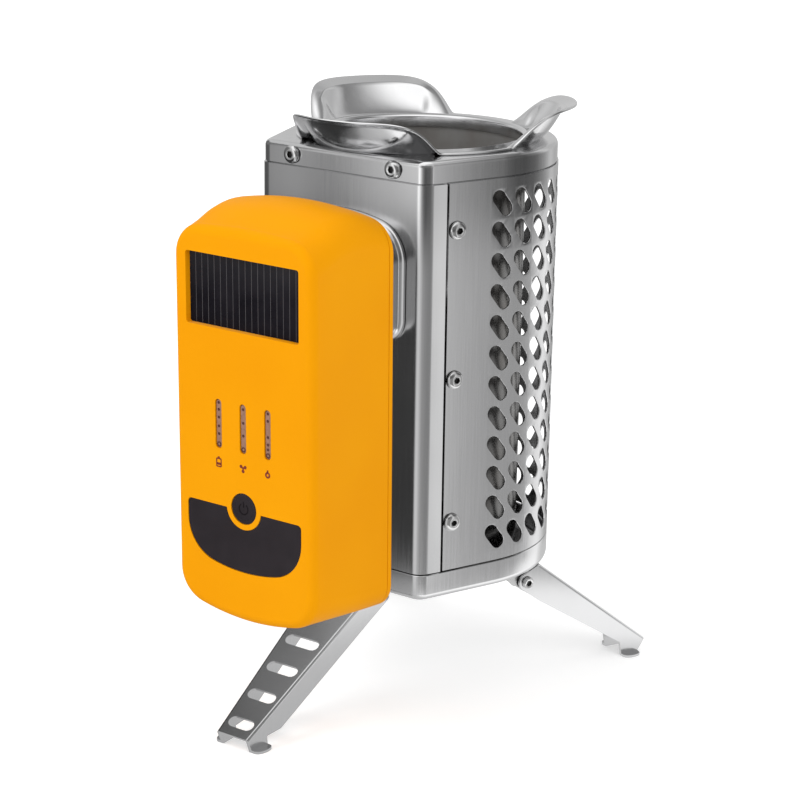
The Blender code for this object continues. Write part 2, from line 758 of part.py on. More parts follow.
def leg_sheet(form, leg):
    """The folded sheet as surfaces: slotted web, two flanges with pin holes, and a turned-out foot on each."""
    origin, along, across, above, _ = leg_frame(leg)

    def spot(distance, side, up):
        return origin + along * distance + across * side + above * up

    profile = leg_side_profile(leg)
    web_root, web_tip = profile[0][0], profile[-1][0]
    loops = [[(web_root, -leg_half_width(leg, web_root)), (web_tip, -leg_half_width(leg, web_tip))]]
    loops[0] += [(web_tip, leg_half_width(leg, web_tip)), (web_root, leg_half_width(leg, web_root))]
    for centre in leg["slots"]:
        width = 2 * leg_half_width(leg, centre) * 0.72
        outline = slot_outline(width, 5.4, 0.0, 4)
        loops.append([(centre + point.x, point.y) for point in outline])
    fill_sheet(form, loops, lambda a, b: spot(a, b, leg["web"]))
    hole = [(PIN_RADIUS + 0.35) * Vector((math.cos(k * math.pi / 4), math.sin(k * math.pi / 4))) for k in range(8)]
    for side in (-1, 1):
        fill_sheet(
            form,
            [profile, [tuple(point) for point in hole]],
            lambda a, b, side=side: spot(a, side * leg_half_width(leg, a), b),
        )
        heel, toe = profile[-3], profile[-2]
        width = leg["foot_width"]
        steps = ((0.0, 0.0), (width, 0.0), (width + 0.8, 1.4))
        for (near, low), (far, high) in zip(steps, steps[1:]):
            corners = []
            for point, out, lift in ((heel, near, low), (toe, near, low), (toe, far, high), (heel, far, high)):
                edge = spot(point[0], side * (leg_half_width(leg, point[0]) + out), point[1])
                corners.append(form.verts.new(edge + Vector((0, 0, lift))))
            form.faces.new(corners)
    bmesh.ops.remove_doubles(form, verts=form.verts, dist=0.01)
    bmesh.ops.recalc_face_normals(form, faces=form.faces)
    web = max(form.faces, key=lambda face: abs(face.normal.dot(above)))
    if web.normal.dot(above) < 0:
        bmesh.ops.reverse_faces(form, faces=form.faces)


def fill_sheet(form, loops, place):
    """Fills an outline with holes on a surface given by place."""
    edges = []
    for loop in loops:
        verts = [form.verts.new(place(a, b)) for a, b in loop]
        for k, vert in enumerate(verts):
            edges.append(form.edges.new((vert, verts[(k + 1) % len(verts)])))
    bmesh.ops.triangle_fill(form, use_beauty=True, use_dissolve=True, edges=edges)


def build_leg(name, leg):
    mesh = mesh_from(name, lambda form: leg_sheet(form, leg), closed=False)
    item = finish_object(name, mesh, STEEL, origin=leg["pivot"], smooth=False)
    thick = item.modifiers.new("sheet", "SOLIDIFY")
    thick.thickness = LEG_SHEET * MM
    thick.offset = -1.0
    thick.use_even_offset = True
    return item


def build_bracket(name, leg):
    """Plate under the pan with two ears that hold the leg's pin, clear of the tapering flanges when folded."""
    origin, _, across, _, outward = leg_frame(leg)
    up = Vector((0, 0, 1))
    drop = -leg["pivot"][2]
    plate_top = drop - GAP
    plate_low = plate_top - LEG_SHEET
    back = BRACKET_BACK
    ear_half = leg_half_width(leg, -back) - LEG_SHEET - 0.5
    profile = [(back, plate_top), (back, plate_low), (-6.0, -1.5)]
    profile += arc((0, 0), 3.8, math.radians(215), math.radians(350), 5)
    profile += [(1.0, plate_low), (1.0, plate_top)]

    def plate(form, side_low, side_high, outline, holes):
        rings = []
        for side in (side_low, side_high):
            rings.append([origin + outward * a + across * side + up * b for a, b in outline])
        if not holes:
            add_rings(form, rings)
            return
        flat = bmesh.new()
        fill_sheet(flat, [outline] + holes, lambda a, b: origin + outward * a + across * side_low + up * b)
        grown = bmesh.ops.extrude_face_region(flat, geom=list(flat.faces), use_keep_orig=True)
        moved = [item for item in grown["geom"] if isinstance(item, bmesh.types.BMVert)]
        bmesh.ops.translate(flat, verts=moved, vec=across * (side_high - side_low))
        patch = bpy.data.meshes.new("patch")
        flat.to_mesh(patch)
        flat.free()
        form.from_mesh(patch)

    hole = arc((0, 0), PIN_RADIUS + 0.3, 0, 2 * math.pi, 8)[:-1]
    step = 0.1
    strip = [(back + step, plate_top - step), (back + step, plate_low + step)]
    strip += [(1.0 - step, plate_low + step), (1.0 - step, plate_top - step)]
    mesh = mesh_from(name, lambda form: plate(form, -ear_half, -ear_half + LEG_SHEET, profile, [hole]))
    item = finish_object(name, mesh, STEEL, smooth=False)
    other = mesh_from("ear", lambda form: plate(form, ear_half - LEG_SHEET, ear_half, profile, [hole]))
    middle = mesh_from("strip", lambda form: plate(form, -ear_half + 0.5, ear_half - 0.5, strip, []))
    cut_with(item, cutter(name + "_strip", middle), "UNION")
    cut_with(item, cutter(name + "_ear", other), "UNION")
    return item


def build_leg_pin(name, leg):
    """Pivot pin with a domed head outside each flange."""
    origin, _, across, _, _ = leg_frame(leg)
    half = leg["root_half"] + 0.35
    head = 2.4
    profile = [(head * 0.55, -half - 1.5), (head, -half - 0.6), (head, -half), (PIN_RADIUS, -half)]
    profile += [(PIN_RADIUS, half), (head, half), (head, half + 0.6), (head * 0.55, half + 1.5)]
    mesh = mesh_from(name, lambda form: add_rings(form, turned(profile, 8)))
    mesh.transform(Matrix.Translation(origin) @ aim(across))
    return finish_object(name, mesh, BRIGHT)


def mirrored(leg):
    """The same leg on the other side of the stove."""
    x, y, z = leg["pivot"]
    return dict(leg, turn=180.0 - leg["turn"], pivot=(-x, y, z))


def crowned_outline(half_width, bottom, top, crown_low, crown_high, corner_low, corner_high, steps=4):
    """Closed outline in the XZ plane with crowned ends. A crown of 0 gives a flat end."""

    def quarter(end, crown, corner, direction):
        centre_x = half_width - corner
        if crown == 0:
            centre_z = end + direction * corner
            return arc((centre_x, centre_z), corner, -direction * math.pi / 2, 0, steps)
        reach = crown - corner
        centre_z = end + direction * (crown - math.sqrt(reach**2 - centre_x**2))
        start = math.atan2(-direction * math.sqrt(reach**2 - centre_x**2), centre_x)
        crown_points = arc((0, end + direction * crown), crown, -direction * math.pi / 2, start, steps)
        return crown_points[1:-1] + arc((centre_x, centre_z), corner, start, 0, steps)

    right = quarter(bottom, crown_low, corner_low, 1) + list(reversed(quarter(top, crown_high, corner_high, -1)))
    middle_low = [(0.0, bottom)] if crown_low else []
    middle_high = [(0.0, top)] if crown_high else []
    return middle_low + right + middle_high + [(-x, z) for x, z in reversed(right)]


def pack_section(depth, inset=0.0, top_drop=0.0, crown=0.0):
    """Cross-section of the power pack at a depth behind its face, as a ring of points."""
    values = PACK_SECTIONS[0] if depth < PACK_SECTIONS[0][0] else PACK_SECTIONS[-1]
    for near, far in zip(PACK_SECTIONS, PACK_SECTIONS[1:]):
        if near[0] <= depth <= far[0]:
            share = (depth - near[0]) / (far[0] - near[0])
            values = [low + (high - low) * share for low, high in zip(near, far)]
    _, top, bottom, half_width, crown_high, corner_low = values
    outline = crowned_outline(
        half_width - inset, bottom + inset, top - inset - top_drop,
        PACK_LOW_CROWN, crown or crown_high, corner_low - inset, PACK_HIGH_CORNER - inset,
    )
    return [(x, PACK_FRONT_Y + depth, z) for x, z in outline]


def pack_front_sections(wall=0.0):
    """Rings from the seam to the front face, with the rounded front edge. wall moves them inwards."""
    depths = [PACK_SEAM_DEPTH] + [section[0] for section in reversed(PACK_SECTIONS[:-1])]
    rings = [pack_section(depth, wall) for depth in depths]
    round_radius = PACK_SIDE_ROUND - wall
    crown_start = PACK_SECTIONS[0][4]
    for degrees in (25, 50, 70, 90):
        angle = math.radians(degrees)
        share = 1 - math.cos(angle)
        depth = PACK_SIDE_ROUND - round_radius * math.sin(angle)
        drop = (PACK_TOP_ROUND - wall) * share - round_radius * share
        crown = crown_start + (PACK_FACE_CROWN - crown_start) * share
        rings.append(pack_section(depth, wall + round_radius * share, drop, crown))
    return rings


def skin_cup(form, outer, inner):
    """A cup from its outer rings, rim to bottom, and its inner rings, bottom to rim."""
    rows = [[form.verts.new(point) for point in ring] for ring in outer + inner]
    count = len(rows[0])
    split = len(outer)
    for step in range(len(rows)):
        if step == split - 1:
            continue
        lower, upper = rows[step], rows[(step + 1) % len(rows)]
        for index in range(count):
            following = (index + 1) % count
            form.faces.new((lower[index], lower[following], upper[following], upper[index]))
    form.faces.new(rows[split - 1])
    form.faces.new(list(reversed(rows[split])))


def pack_cutter(item, name, mesh, operation="DIFFERENCE"):
    """Cuts or joins a tool that leans with the power pack."""
    cut_with(item, cutter(name, mesh, PACK_LEAN), operation)


def build_pack_housing():
    """Deep moulded cup. Trays behind the window and the half-moon recess carry the cell and the port cover."""
    inner = list(reversed(pack_front_sections(PACK_WALL)))
    mesh = mesh_from("pack_housing", lambda form: skin_cup(form, pack_front_sections(), inner))
    item = finish_object("pack_housing", mesh, YELLOW, lean=PACK_LEAN)
    rim = 2.0
    pocket_depth = WINDOW_DEPTH + CELL_THICKNESS + GAP
    tray_start = PACK_FRONT_Y + PACK_WALL - 0.6
    tray = rounded_slab(
        WINDOW_HALF_WIDTH + rim, WINDOW_LOW - rim, WINDOW_HIGH + rim, 2.0,
        tray_start, PACK_FRONT_Y + pocket_depth + PACK_WALL, 2,
    )
    pack_cutter(item, "pack_window_tray", tray, "UNION")
    recess_depth = COVER_THICKNESS - COVER_PROUD + GAP
    cover_tray = rounded_slab(
        COVER_HALF_WIDTH + rim, COVER_LOW - rim, COVER_HIGH + rim, 14.0,
        tray_start, PACK_FRONT_Y + recess_depth + PACK_WALL, 3,
    )
    pack_cutter(item, "pack_cover_tray", cover_tray, "UNION")
    for number, (side, height) in enumerate(((-1, 62.0), (1, 62.0), (-1, 110.0), (1, 110.0)), start=1):
        post = mesh_from("post", lambda form: add_rings(form, turned([(2.5, -1.0), (2.5, BOARD_DEPTH - 2.5)], 8)))
        post.transform(Matrix.Translation((side * 26.0, PACK_FRONT_Y + 2.5 - GAP, height)) @ aim((0, 1, 0)))
        pack_cutter(item, f"pack_board_post_{number}", post, "UNION")
    window = rounded_slab(
        WINDOW_HALF_WIDTH, WINDOW_LOW, WINDOW_HIGH, 1.2, PACK_FRONT_Y - 4, PACK_FRONT_Y + pocket_depth, 2
    )
    pack_cutter(item, "pack_window_recess", window)
    recess = slab(cover_outline(-GAP), PACK_FRONT_Y - 4, PACK_FRONT_Y + recess_depth)
    pack_cutter(item, "pack_cover_recess", recess)
    through = (PACK_FRONT_Y - 4, PACK_FRONT_Y + PACK_WALL + 3)
    for number in (-1, 0, 1):
        slot = rounded_slab(
            PIPE_WIDTH / 2 + GAP / 2, PIPE_LOW - GAP / 2, PIPE_HIGH + GAP / 2, PIPE_WIDTH / 2, through[0], through[1], 2
        )
        slot.transform(Matrix.Translation((number * PIPE_PITCH, 0, 0)))
        pack_cutter(item, f"pack_pipe_slot_{number + 2}", slot)
    hole_radius = BUTTON_RADIUS + 0.4
    hole = mesh_from("hole", lambda form: add_rings(form, turned([(hole_radius, -6), (hole_radius, 6)], 20)))
    hole.transform(Matrix.Translation((0, PACK_FRONT_Y, BUTTON_Z)) @ aim((0, -1, 0)))
    pack_cutter(item, "pack_button_hole", hole)
    pocket = rounded_slab(9.0, SOCKET_Z - 5.5, SOCKET_Z + 5.5, 1.0, through[0], through[1], 2)
    pack_cutter(item, "pack_port_opening", pocket)
    return item


def build_pack_rear_cover():
    """Shallow cover with the spigot that plugs into the collar, its air nozzle and the probe hole."""
    seam = PACK_SEAM_DEPTH + GAP
    end = PACK_BACK_Y - PACK_FRONT_Y
    edge = 1.5
    outer = [pack_section(seam), pack_section(end - edge), pack_section(end, edge)]
    inner = [pack_section(end - PACK_WALL, PACK_WALL), pack_section(seam, PACK_WALL)]
    mesh = mesh_from("pack_rear_cover", lambda form: skin_cup(form, outer, inner))
    item = finish_object("pack_rear_cover", mesh, YELLOW, lean=PACK_LEAN)
    back = PACK_BACK_Y
    inset = SHEET + SPIGOT_GAP
    end_y = back + SPIGOT_DEPTH
    cut_with(item, cutter("rear_cover_spigot", slab(collar_outline(inset), back - 1.0, end_y)), "UNION")
    cut_with(item, cutter("rear_cover_hollow", slab(collar_outline(inset + 2.0), back - 6.0, end_y - 2.0)))
    window = rounded_slab(21.0, PROBE_Z - 11.0, PROBE_Z + 11.0, 3.0, back + 4, end_y + 3, 2)
    cut_with(item, cutter("rear_cover_plate_window", window))
    nozzle = rounded_slab(19.0, NOZZLE_Z - 4.5, NOZZLE_Z + 4.5, 3.0, back + 4, end_y + 3, 2)
    cut_with(item, cutter("rear_cover_nozzle", nozzle))
    for number in range(5):
        vent = rounded_slab(18.0, 40.0 + 9 * number, 43.5 + 9 * number, 1.7, back - 5, back + 4, 2)
        cut_with(item, cutter(f"rear_cover_vent_{number + 1}", vent))
    return item


def build_solar_cell():
    near = PACK_FRONT_Y + WINDOW_DEPTH
    mesh = rounded_slab(
        WINDOW_HALF_WIDTH - GAP, WINDOW_LOW + GAP, WINDOW_HIGH - GAP, 0.9, near, near + CELL_THICKNESS, 2
    )
    return finish_object("solar_cell", mesh, CELL_BLACK, lean=PACK_LEAN)


def build_light_pipes():
    for word, number in (("left", -1), ("middle", 0), ("right", 1)):
        mesh = rounded_slab(
            PIPE_WIDTH / 2 - 0.15, PIPE_LOW + 0.15, PIPE_HIGH - 0.15, PIPE_WIDTH / 2 - 0.16,
            PACK_FRONT_Y + PIPE_RECESS, PACK_FRONT_Y + 4.5, 3,
        )
        mesh.transform(Matrix.Translation((number * PIPE_PITCH, 0, 0)))
        finish_object(f"light_pipe_{word}", mesh, SMOKE, lean=PACK_LEAN)


def build_power_button():
    """Round button, flush with the face and slightly dished."""
    edge = 0.5
    profile = [(BUTTON_RADIUS, -3.5), (BUTTON_RADIUS, -edge), (BUTTON_RADIUS - edge, 0.1), (BUTTON_RADIUS - 2.2, -0.1)]
    mesh = mesh_from("power_button", lambda form: add_rings(form, turned(profile, 20)))
    mesh.transform(Matrix.Translation((0, PACK_FRONT_Y, BUTTON_Z)) @ aim((0, -1, 0)))
    return finish_object("power_button", mesh, CHARCOAL, origin=(0, PACK_FRONT_Y, BUTTON_Z), lean=PACK_LEAN)


def cover_outline(inset):
    """Half-moon with a round scoop under the button."""
    high = COVER_HIGH - inset
    scoop_radius = COVER_SCOOP + inset
    outline = crowned_outline(
        COVER_HALF_WIDTH - inset, COVER_LOW + inset, high, 75.0 - inset, 0, 17.0 - inset, 1.5 - inset
    )
    count = len(outline)
    top_right = max(range(count), key=lambda k: (outline[k][1] > high - 0.01) * (1 + outline[k][0] / 100))
    start = math.asin((high - BUTTON_Z) / scoop_radius)
    scoop = arc((0, BUTTON_Z), scoop_radius, start, -math.pi - start, 12)
    return outline[: top_right + 1] + scoop + outline[top_right + 1:]


def build_port_cover():
    """Half-moon flap that lies flush in its recess and hinges on its lower outer edge."""
    near = PACK_FRONT_Y - COVER_PROUD
    mesh = slab(cover_outline(0.0), near, near + COVER_THICKNESS)
    return finish_object("port_cover", mesh, CHARCOAL, origin=(0, near, COVER_LOW), lean=PACK_LEAN)


def build_usb_socket():
    front = PACK_FRONT_Y + 2.2
    back = PACK_FRONT_Y + BOARD_DEPTH - GAP
    outer = rounded_slab(7.2, SOCKET_Z - 3.7, SOCKET_Z + 3.7, 0.8, front, back, 1)
    item = finish_object("usb_socket", outer, BRIGHT, lean=PACK_LEAN)
    mouth = rounded_slab(6.2, SOCKET_Z - 2.7, SOCKET_Z + 2.7, 0.5, front - 3, back - 0.8, 1)
    pack_cutter(item, "usb_socket_mouth", mouth)
    return item


def box_piece(name, low, high, look, lean=0.0):
    mesh = mesh_from(name, lambda form: add_box(form, low, high))
    return finish_object(name, mesh, look, smooth=False, lean=lean)


def build_pack_internals():
    """Circuit board, battery, fan, thermoelectric tile, heat sink and the hot plate with its probe."""
    board_y = PACK_FRONT_Y + BOARD_DEPTH
    board_back = board_y + BOARD_THICKNESS
    box_piece("circuit_board", (-30, board_y, 20), (30, board_back, 116), GREEN, PACK_LEAN)
    cell_radius = 9.2
    cell_y = board_back + PACK_LEAN * PROBE_Z + GAP + cell_radius
    cell = mesh_from(
        "battery_cell", lambda form: add_rings(form, turned([(cell_radius, 22), (cell_radius, 87)], 16, (0, cell_y)))
    )
    finish_object("battery_cell", cell, BLUE)
    plate_back = PACK_BACK_Y + SPIGOT_DEPTH - 3.4
    plate_front = plate_back - 6.0
    tile_front = plate_front - GAP - 3.6
    box_piece("thermoelectric_tile", (-20, tile_front, STACK_LOW), (20, plate_front - GAP, STACK_HIGH), CERAMIC)
    build_hot_plate(plate_front, plate_back)
    sink_back = tile_front - GAP
    sink_front = sink_back - 9.0
    build_heat_sink(sink_front, sink_back)
    build_fan(sink_front - 1.0)


def build_hot_plate(front, back):
    def builder(form):
        add_box(form, (-20, front, PROBE_Z - 10), (20, back, PROBE_Z + 10))

    item = finish_object("heat_probe", mesh_from("heat_probe", builder), COPPER)
    reach = PROBE_TIP_Y - back
    profile = [(PROBE_RADIUS, -2.0), (PROBE_RADIUS, reach - 3), (PROBE_RADIUS * 0.75, reach - 0.8)]
    profile += [(PROBE_RADIUS * 0.35, reach)]
    rod = mesh_from("rod", lambda form: add_rings(form, turned(profile, 12)))
    rod.transform(Matrix.Translation((0, back, PROBE_Z)) @ aim((0, 1, 0)))
    cut_with(item, cutter("heat_probe_rod", rod), "UNION")
    return item


def build_heat_sink(front, back):
    """Plate with upright fins, drawn as one comb outline and extruded upwards."""
    base = 2.5
    fins = 9
    pitch = 40.0 / (fins - 0.5)
    outline = [(-20.0, back), (20.0, back)]
    right = 20.0
    for k in range(fins):
        outline += [(right - pitch * k, front), (right - pitch * k - pitch / 2, front)]
        if k < fins - 1:
            outline += [(right - pitch * k - pitch / 2, back - base), (right - pitch * (k + 1), back - base)]
    rings = [[(x, y, z) for x, y in outline] for z in (STACK_LOW, STACK_HIGH)]
    mesh = mesh_from("heat_sink", lambda form: add_rings(form, rings))
    return finish_object("heat_sink", mesh, STEEL, smooth=False)


def build_fan(back):
    """Square fan frame and its rotor, both centred on one axis along Y."""
    half = FAN_SIZE / 2
    bore = half - 1.3
    front = back - FAN_DEPTH
    frame = finish_object(
        "fan_frame", rounded_slab(half, FAN_Z - half, FAN_Z + half, 3.0, front, back, 2), CHARCOAL
    )
    hole = mesh_from("hole", lambda form: add_rings(form, turned([(bore, -2), (bore, FAN_DEPTH + 2)], 24)))
    hole.transform(Matrix.Translation((0, back, FAN_Z)) @ aim((0, -1, 0)))
    cut_with(frame, cutter("fan_frame_bore", hole))
    middle = (0, (front + back) / 2, FAN_Z)
    hub = mesh_from("fan_rotor", lambda form: add_rings(form, turned([(8.0, -3.5), (8.0, 3.5)], 14)))
    hub.transform(Matrix.Translation(middle) @ aim((0, -1, 0)))
    rotor = finish_object("fan_rotor", hub, CHARCOAL, origin=middle)
    for k in range(FAN_BLADES):
        blade = mesh_from("blade", lambda form: add_box(form, (7.0, -0.5, -3.8), (bore - 1.0, 0.5, 3.8)))
        pitch = Matrix.Rotation(math.radians(50), 4, "X")
        spin = Matrix.Rotation(2 * math.pi * k / FAN_BLADES, 4, "Z")
        blade.transform(Matrix.Translation(middle) @ aim((0, -1, 0)) @ spin @ pitch)
        cut_with(rotor, cutter(f"fan_blade_{k + 1}", blade), "UNION")


def build_stove():
    path = OutlinePath()
    build_base_pan()
    build_front_shell(path)
    build_heat_mesh(path)
    build_top_cap()
    build_burn_chamber()
    build_chamber_floor()
    build_pot_support()
    build_docking_collar()
    build_body_screws(path)


def build_legs():
    legs = {"front": FRONT_LEG, "rear_right": REAR_LEG, "rear_left": mirrored(REAR_LEG)}
    for word, leg in legs.items():
        build_bracket(f"leg_bracket_{word}", leg)
        build_leg_pin(f"leg_pin_{word}", leg)
        build_leg(f"leg_{word}", leg)


def build_power_pack():
    build_pack_housing()
    build_pack_rear_cover()
    build_solar_cell()
    build_light_pipes()
    build_power_button()
    build_port_cover()
    build_usb_socket()
    build_pack_internals()


def main():
    clear_scene()
    build_stove()
    build_legs()
    build_power_pack()


main()
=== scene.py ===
"""Looks of a wood-burning camp stove on folding legs, with its plug-in power pack.

Lengths are in millimetres. Shapes are made about the middle of the base pan's flat underside, on the burn
chamber's axis, with the front at -Y, and are then moved to where the frame has the base pan.
"""

import math
from bisect import bisect_right

import bmesh
import bpy
from mathutils import Matrix, Vector


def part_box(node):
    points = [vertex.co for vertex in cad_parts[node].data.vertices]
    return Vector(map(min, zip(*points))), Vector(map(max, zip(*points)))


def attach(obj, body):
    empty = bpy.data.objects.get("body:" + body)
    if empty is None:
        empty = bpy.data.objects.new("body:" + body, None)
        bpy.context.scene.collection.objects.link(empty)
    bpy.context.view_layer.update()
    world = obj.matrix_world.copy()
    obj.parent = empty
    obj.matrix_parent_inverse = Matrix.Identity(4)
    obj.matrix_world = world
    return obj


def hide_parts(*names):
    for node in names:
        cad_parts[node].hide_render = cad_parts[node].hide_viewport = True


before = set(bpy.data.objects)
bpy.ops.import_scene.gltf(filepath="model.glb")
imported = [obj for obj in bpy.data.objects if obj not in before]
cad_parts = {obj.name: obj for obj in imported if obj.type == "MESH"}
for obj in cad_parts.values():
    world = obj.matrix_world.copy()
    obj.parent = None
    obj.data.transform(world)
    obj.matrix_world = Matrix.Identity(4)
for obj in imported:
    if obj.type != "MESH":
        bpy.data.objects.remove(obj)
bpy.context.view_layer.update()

MM = 0.001
GAP = 0.35

# Stove body in plan and in height
FRONT_Y = -53.7
CORNER_RADIUS = 6.4
CORNER_X = 38.85
SHOULDER_RADIUS = 56.26
SHOULDER_X = 4.05
SHOULDER_Y = 2.38
PAN_HEIGHT = 11.9
CAP_BOTTOM = 180.7
BODY_TOP = 190.0
WALL_LOW = PAN_HEIGHT + GAP
WALL_HIGH = CAP_BOTTOM - GAP
CAP_INSET = 0.5
SHEET = 1.0
LIP = 0.25
SEAM_LENGTH = 53.45
SEAM_GAP = 1.1
SHELL_FLARE = 0.065

# Heat guard
GUARD_ROWS = 12
GUARD_ROW_PITCH = 13.35
GUARD_TOP_ROW = 169.8
GUARD_FIRST_COLUMN = 81.0
GUARD_COLUMNS = 20
SLOT_LENGTH = 12.6
SLOT_WIDTH = 6.4
SLOT_SLANT = math.radians(38)

# Burn chamber and pot support
MOUTH_RADIUS = 47.1
MOUTH_Y = 1.0
CHAMBER_RADIUS = 45.5
CHAMBER_WALL = 0.8
AIR_HOLE_WIDTH = 5.2
AIR_HOLE_HEIGHTS = (34.0, 172.0)
PROBE_HOLE_RADIUS = 6.6
LIP_RADIUS = 53.0
PETAL_REACHES = (67.0, 69.85, 69.85)
PETAL_TOP = 205.4
PETAL_ANGLES = (32.9, 149.3, 275.8)
PETAL_HALF_SPAN = 40.25

# Button-head screws
SOCKET_RADIUS = 1.45
CAP_SCREW_X = 26.6
MESH_SCREW_LENGTH = 58.1
MESH_SCREW_HEIGHTS = (160.7, 96.8, 33.8)

# Docking collar
COLLAR_HALF_WIDTH = 32.0
COLLAR_LOW = 114.0
COLLAR_HIGH = 164.4
COLLAR_CROWN = 80.0
COLLAR_LOW_CORNER = 9.0
COLLAR_HIGH_CORNER = 15.0
COLLAR_DEPTH = 11.3
PROBE_Z = 144.0

# Power pack: it leans back a little below the probe's height
PACK_FRONT_Y = -118.5
PACK_BACK_Y = -66.0
PACK_SEAM_DEPTH = 48.8
PACK_LEAN = 0.009
PACK_WALL = 2.0
PACK_SIDE_ROUND = 4.0
PACK_TOP_ROUND = 5.1
PACK_FACE_CROWN = 600.0
PACK_LOW_CROWN = 108.0
PACK_HIGH_CORNER = 13.8

# Power pack sections: depth behind the face, top, bottom, half width, top crown radius, lower corner radius
PACK_SECTIONS = (
    (4.0, 167.3, -0.3, 36.7, 260.0, 15.0),
    (8.5, 169.4, -0.6, 36.8, 160.0, 14.4),
    (17.5, 173.4, -1.4, 36.9, 133.0, 13.2),
    (27.5, 175.2, -2.4, 37.0, 133.0, 12.4),
    (39.0, 174.0, -3.5, 37.2, 133.0, 11.6),
    (52.5, 169.8, -4.6, 37.4, 133.0, 11.0),
)

# Power pack's face
WINDOW_HALF_WIDTH = 29.5
WINDOW_LOW = 124.7
WINDOW_HIGH = 155.0
WINDOW_DEPTH = 2.6
CELL_THICKNESS = 0.8
CELL_LINE_PITCH = 3.27
PIPE_PITCH = 13.0
PIPE_LOW = 73.9
PIPE_HIGH = 94.7
PIPE_WIDTH = 3.1
PIPE_RECESS = 0.4
ICON_Z = 67.6
SIGN_PROUD = 0.06
SIGN_SUNK = 0.1
BUTTON_Z = 50.0
BUTTON_RADIUS = 6.35
COVER_HALF_WIDTH = 30.0
COVER_LOW = 22.3
COVER_HIGH = 48.8
COVER_SCOOP = 9.4
COVER_THICKNESS = 1.6
COVER_PROUD = 0.1
SOCKET_Z = 33.5

# Legs
LEG_SHEET = 1.2
FOLD_RADIUS = 1.3
PIN_RADIUS = 1.5
LEG_SLOT_WIDTH = 5.4
LEG_SLOT_SHARE = 0.72
FLOOR_Z = -54.7
FRONT_LEG = dict(
    turn=-90.0, slope=30.2, pivot=(0.0, -41.2, -6.8), web=7.0, length=94.0, root_half=15.0, foot_half=8.6,
    depth_root=11.3, foot_start=86.0, foot_width=3.4, root_round=4.5,
    slots=(40.0, 55.7, 71.4, 87.1), notch=((77.0, -4.3), (84.6, -0.6)),
)
REAR_LEG = dict(
    turn=66.0, slope=38.0, pivot=(45.7, 18.3, -8.4), web=10.0, length=77.1, root_half=8.5, foot_half=7.0,
    depth_root=13.7, foot_start=70.3, foot_width=3.5, root_round=4.0, slots=(34.0, 46.0, 58.0),
    notch=((65.8, 1.6),),
)

PAN_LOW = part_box("base_pan")[0]
SHIFT = Vector((0.0, PAN_LOW.y / MM - FRONT_Y, PAN_LOW.z / MM))

# Bodies that show in each other's reflections
STEEL_BODIES = ("stove", "front_leg", "rear_right_leg", "rear_left_leg")


# Materials


class Nodes:
    """A node tree that is built up step by step."""

    def __init__(self, tree):
        self.tree = tree

    def link(self, value, socket):
        """Gives an input a number, a colour or another node's output."""
        if isinstance(value, bpy.types.NodeSocket):
            self.tree.links.new(value, socket)
        elif socket.type == "RGBA":
            socket.default_value = (*value, 1.0)
        else:
            socket.default_value = value

    def fill(self, made, *values, **inputs):
        """Sets a node's inputs, in order or by name."""
        for socket, value in zip(made.inputs, values):
            self.link(value, socket)
        for key, value in inputs.items():
            self.link(value, made.inputs[key.replace("_", " ")])
        return made

    def node(self, kind, *values, **inputs):
        return self.fill(self.tree.nodes.new(kind), *values, **inputs)

    def math(self, operation, *values):
        made = self.node("ShaderNodeMath", *values)
        made.operation = operation
        return made.outputs[0]


class Look(Nodes):
    """A Principled material."""

    def __init__(self, name, color, rough, **inputs):
        self.material = bpy.data.materials.new(name)
        self.material.use_nodes = True
        super().__init__(self.material.node_tree)
        self.shader = self.tree.nodes["Principled BSDF"]
        self.dress(Base_Color=color, Roughness=rough, **inputs)
        self.place = self.node("ShaderNodeTexCoord").outputs["Object"]
        self.relief = {}

    def dress(self, **inputs):
        self.fill(self.shader, **inputs)

    def noise(self, scale, stretch=(1, 1, 1), detail=3.0, rough=0.5):
        mapped = self.node("ShaderNodeMapping", Vector=self.place, Scale=stretch).outputs[0]
        settings = dict(Scale=scale, Detail=detail, Roughness=rough)
        return self.node("ShaderNodeTexNoise", Vector=mapped, **settings).outputs[0]

    def spread(self, value, low, high, start=0.3, end=0.7):
        """Turns a value between start and end into one between low and high."""
        ends = dict(From_Min=start, From_Max=end, To_Min=low, To_Max=high)
        return self.node("ShaderNodeMapRange", Value=value, **ends).outputs[0]

    def mix(self, share, first, second):
        """first where share is 0, second where it is 1."""
        made = self.node("ShaderNodeMix", share)
        made.data_type = "RGBA"
        colours = [socket for socket in made.inputs if socket.type == "RGBA"]
        for value, socket in zip((first, second), colours):
            self.link(value, socket)
        return next(socket for socket in made.outputs if socket.type == "RGBA")

    def bump(self, height, strength, distance):
        """Adds relief to the relief that is already there."""
        made = self.node("ShaderNodeBump", Height=height, Strength=strength, Distance=distance, **self.relief)
        self.relief = {"Normal": made.outputs[0]}
        self.dress(**self.relief)


def tone(color, change):
    return tuple(min(1.0, value * (1 + change)) for value in color)


def brushed_steel(name, color, rough, grain=(1.0, 1.0, 0.02), marks=0.03, strength=0.045):
    """Stainless sheet: fine grain drawn out in one direction, faint cloudy marks and rougher places."""
    look = Look(name, color, rough, Metallic=1.0)
    streaks = look.noise(1500.0, grain, detail=4.0, rough=0.6)
    clouds = look.noise(28.0, (1, 1, 0.5))
    wear = look.math("ADD", look.spread(streaks, -0.03, 0.03), look.spread(clouds, -0.04, 0.05))
    colour = look.mix(look.spread(streaks, 0.0, 1.0), tone(color, -marks), tone(color, marks))
    look.dress(Base_Color=colour, Roughness=look.math("ADD", wear, rough))
    look.bump(streaks, strength, 0.0001)
    return look.material


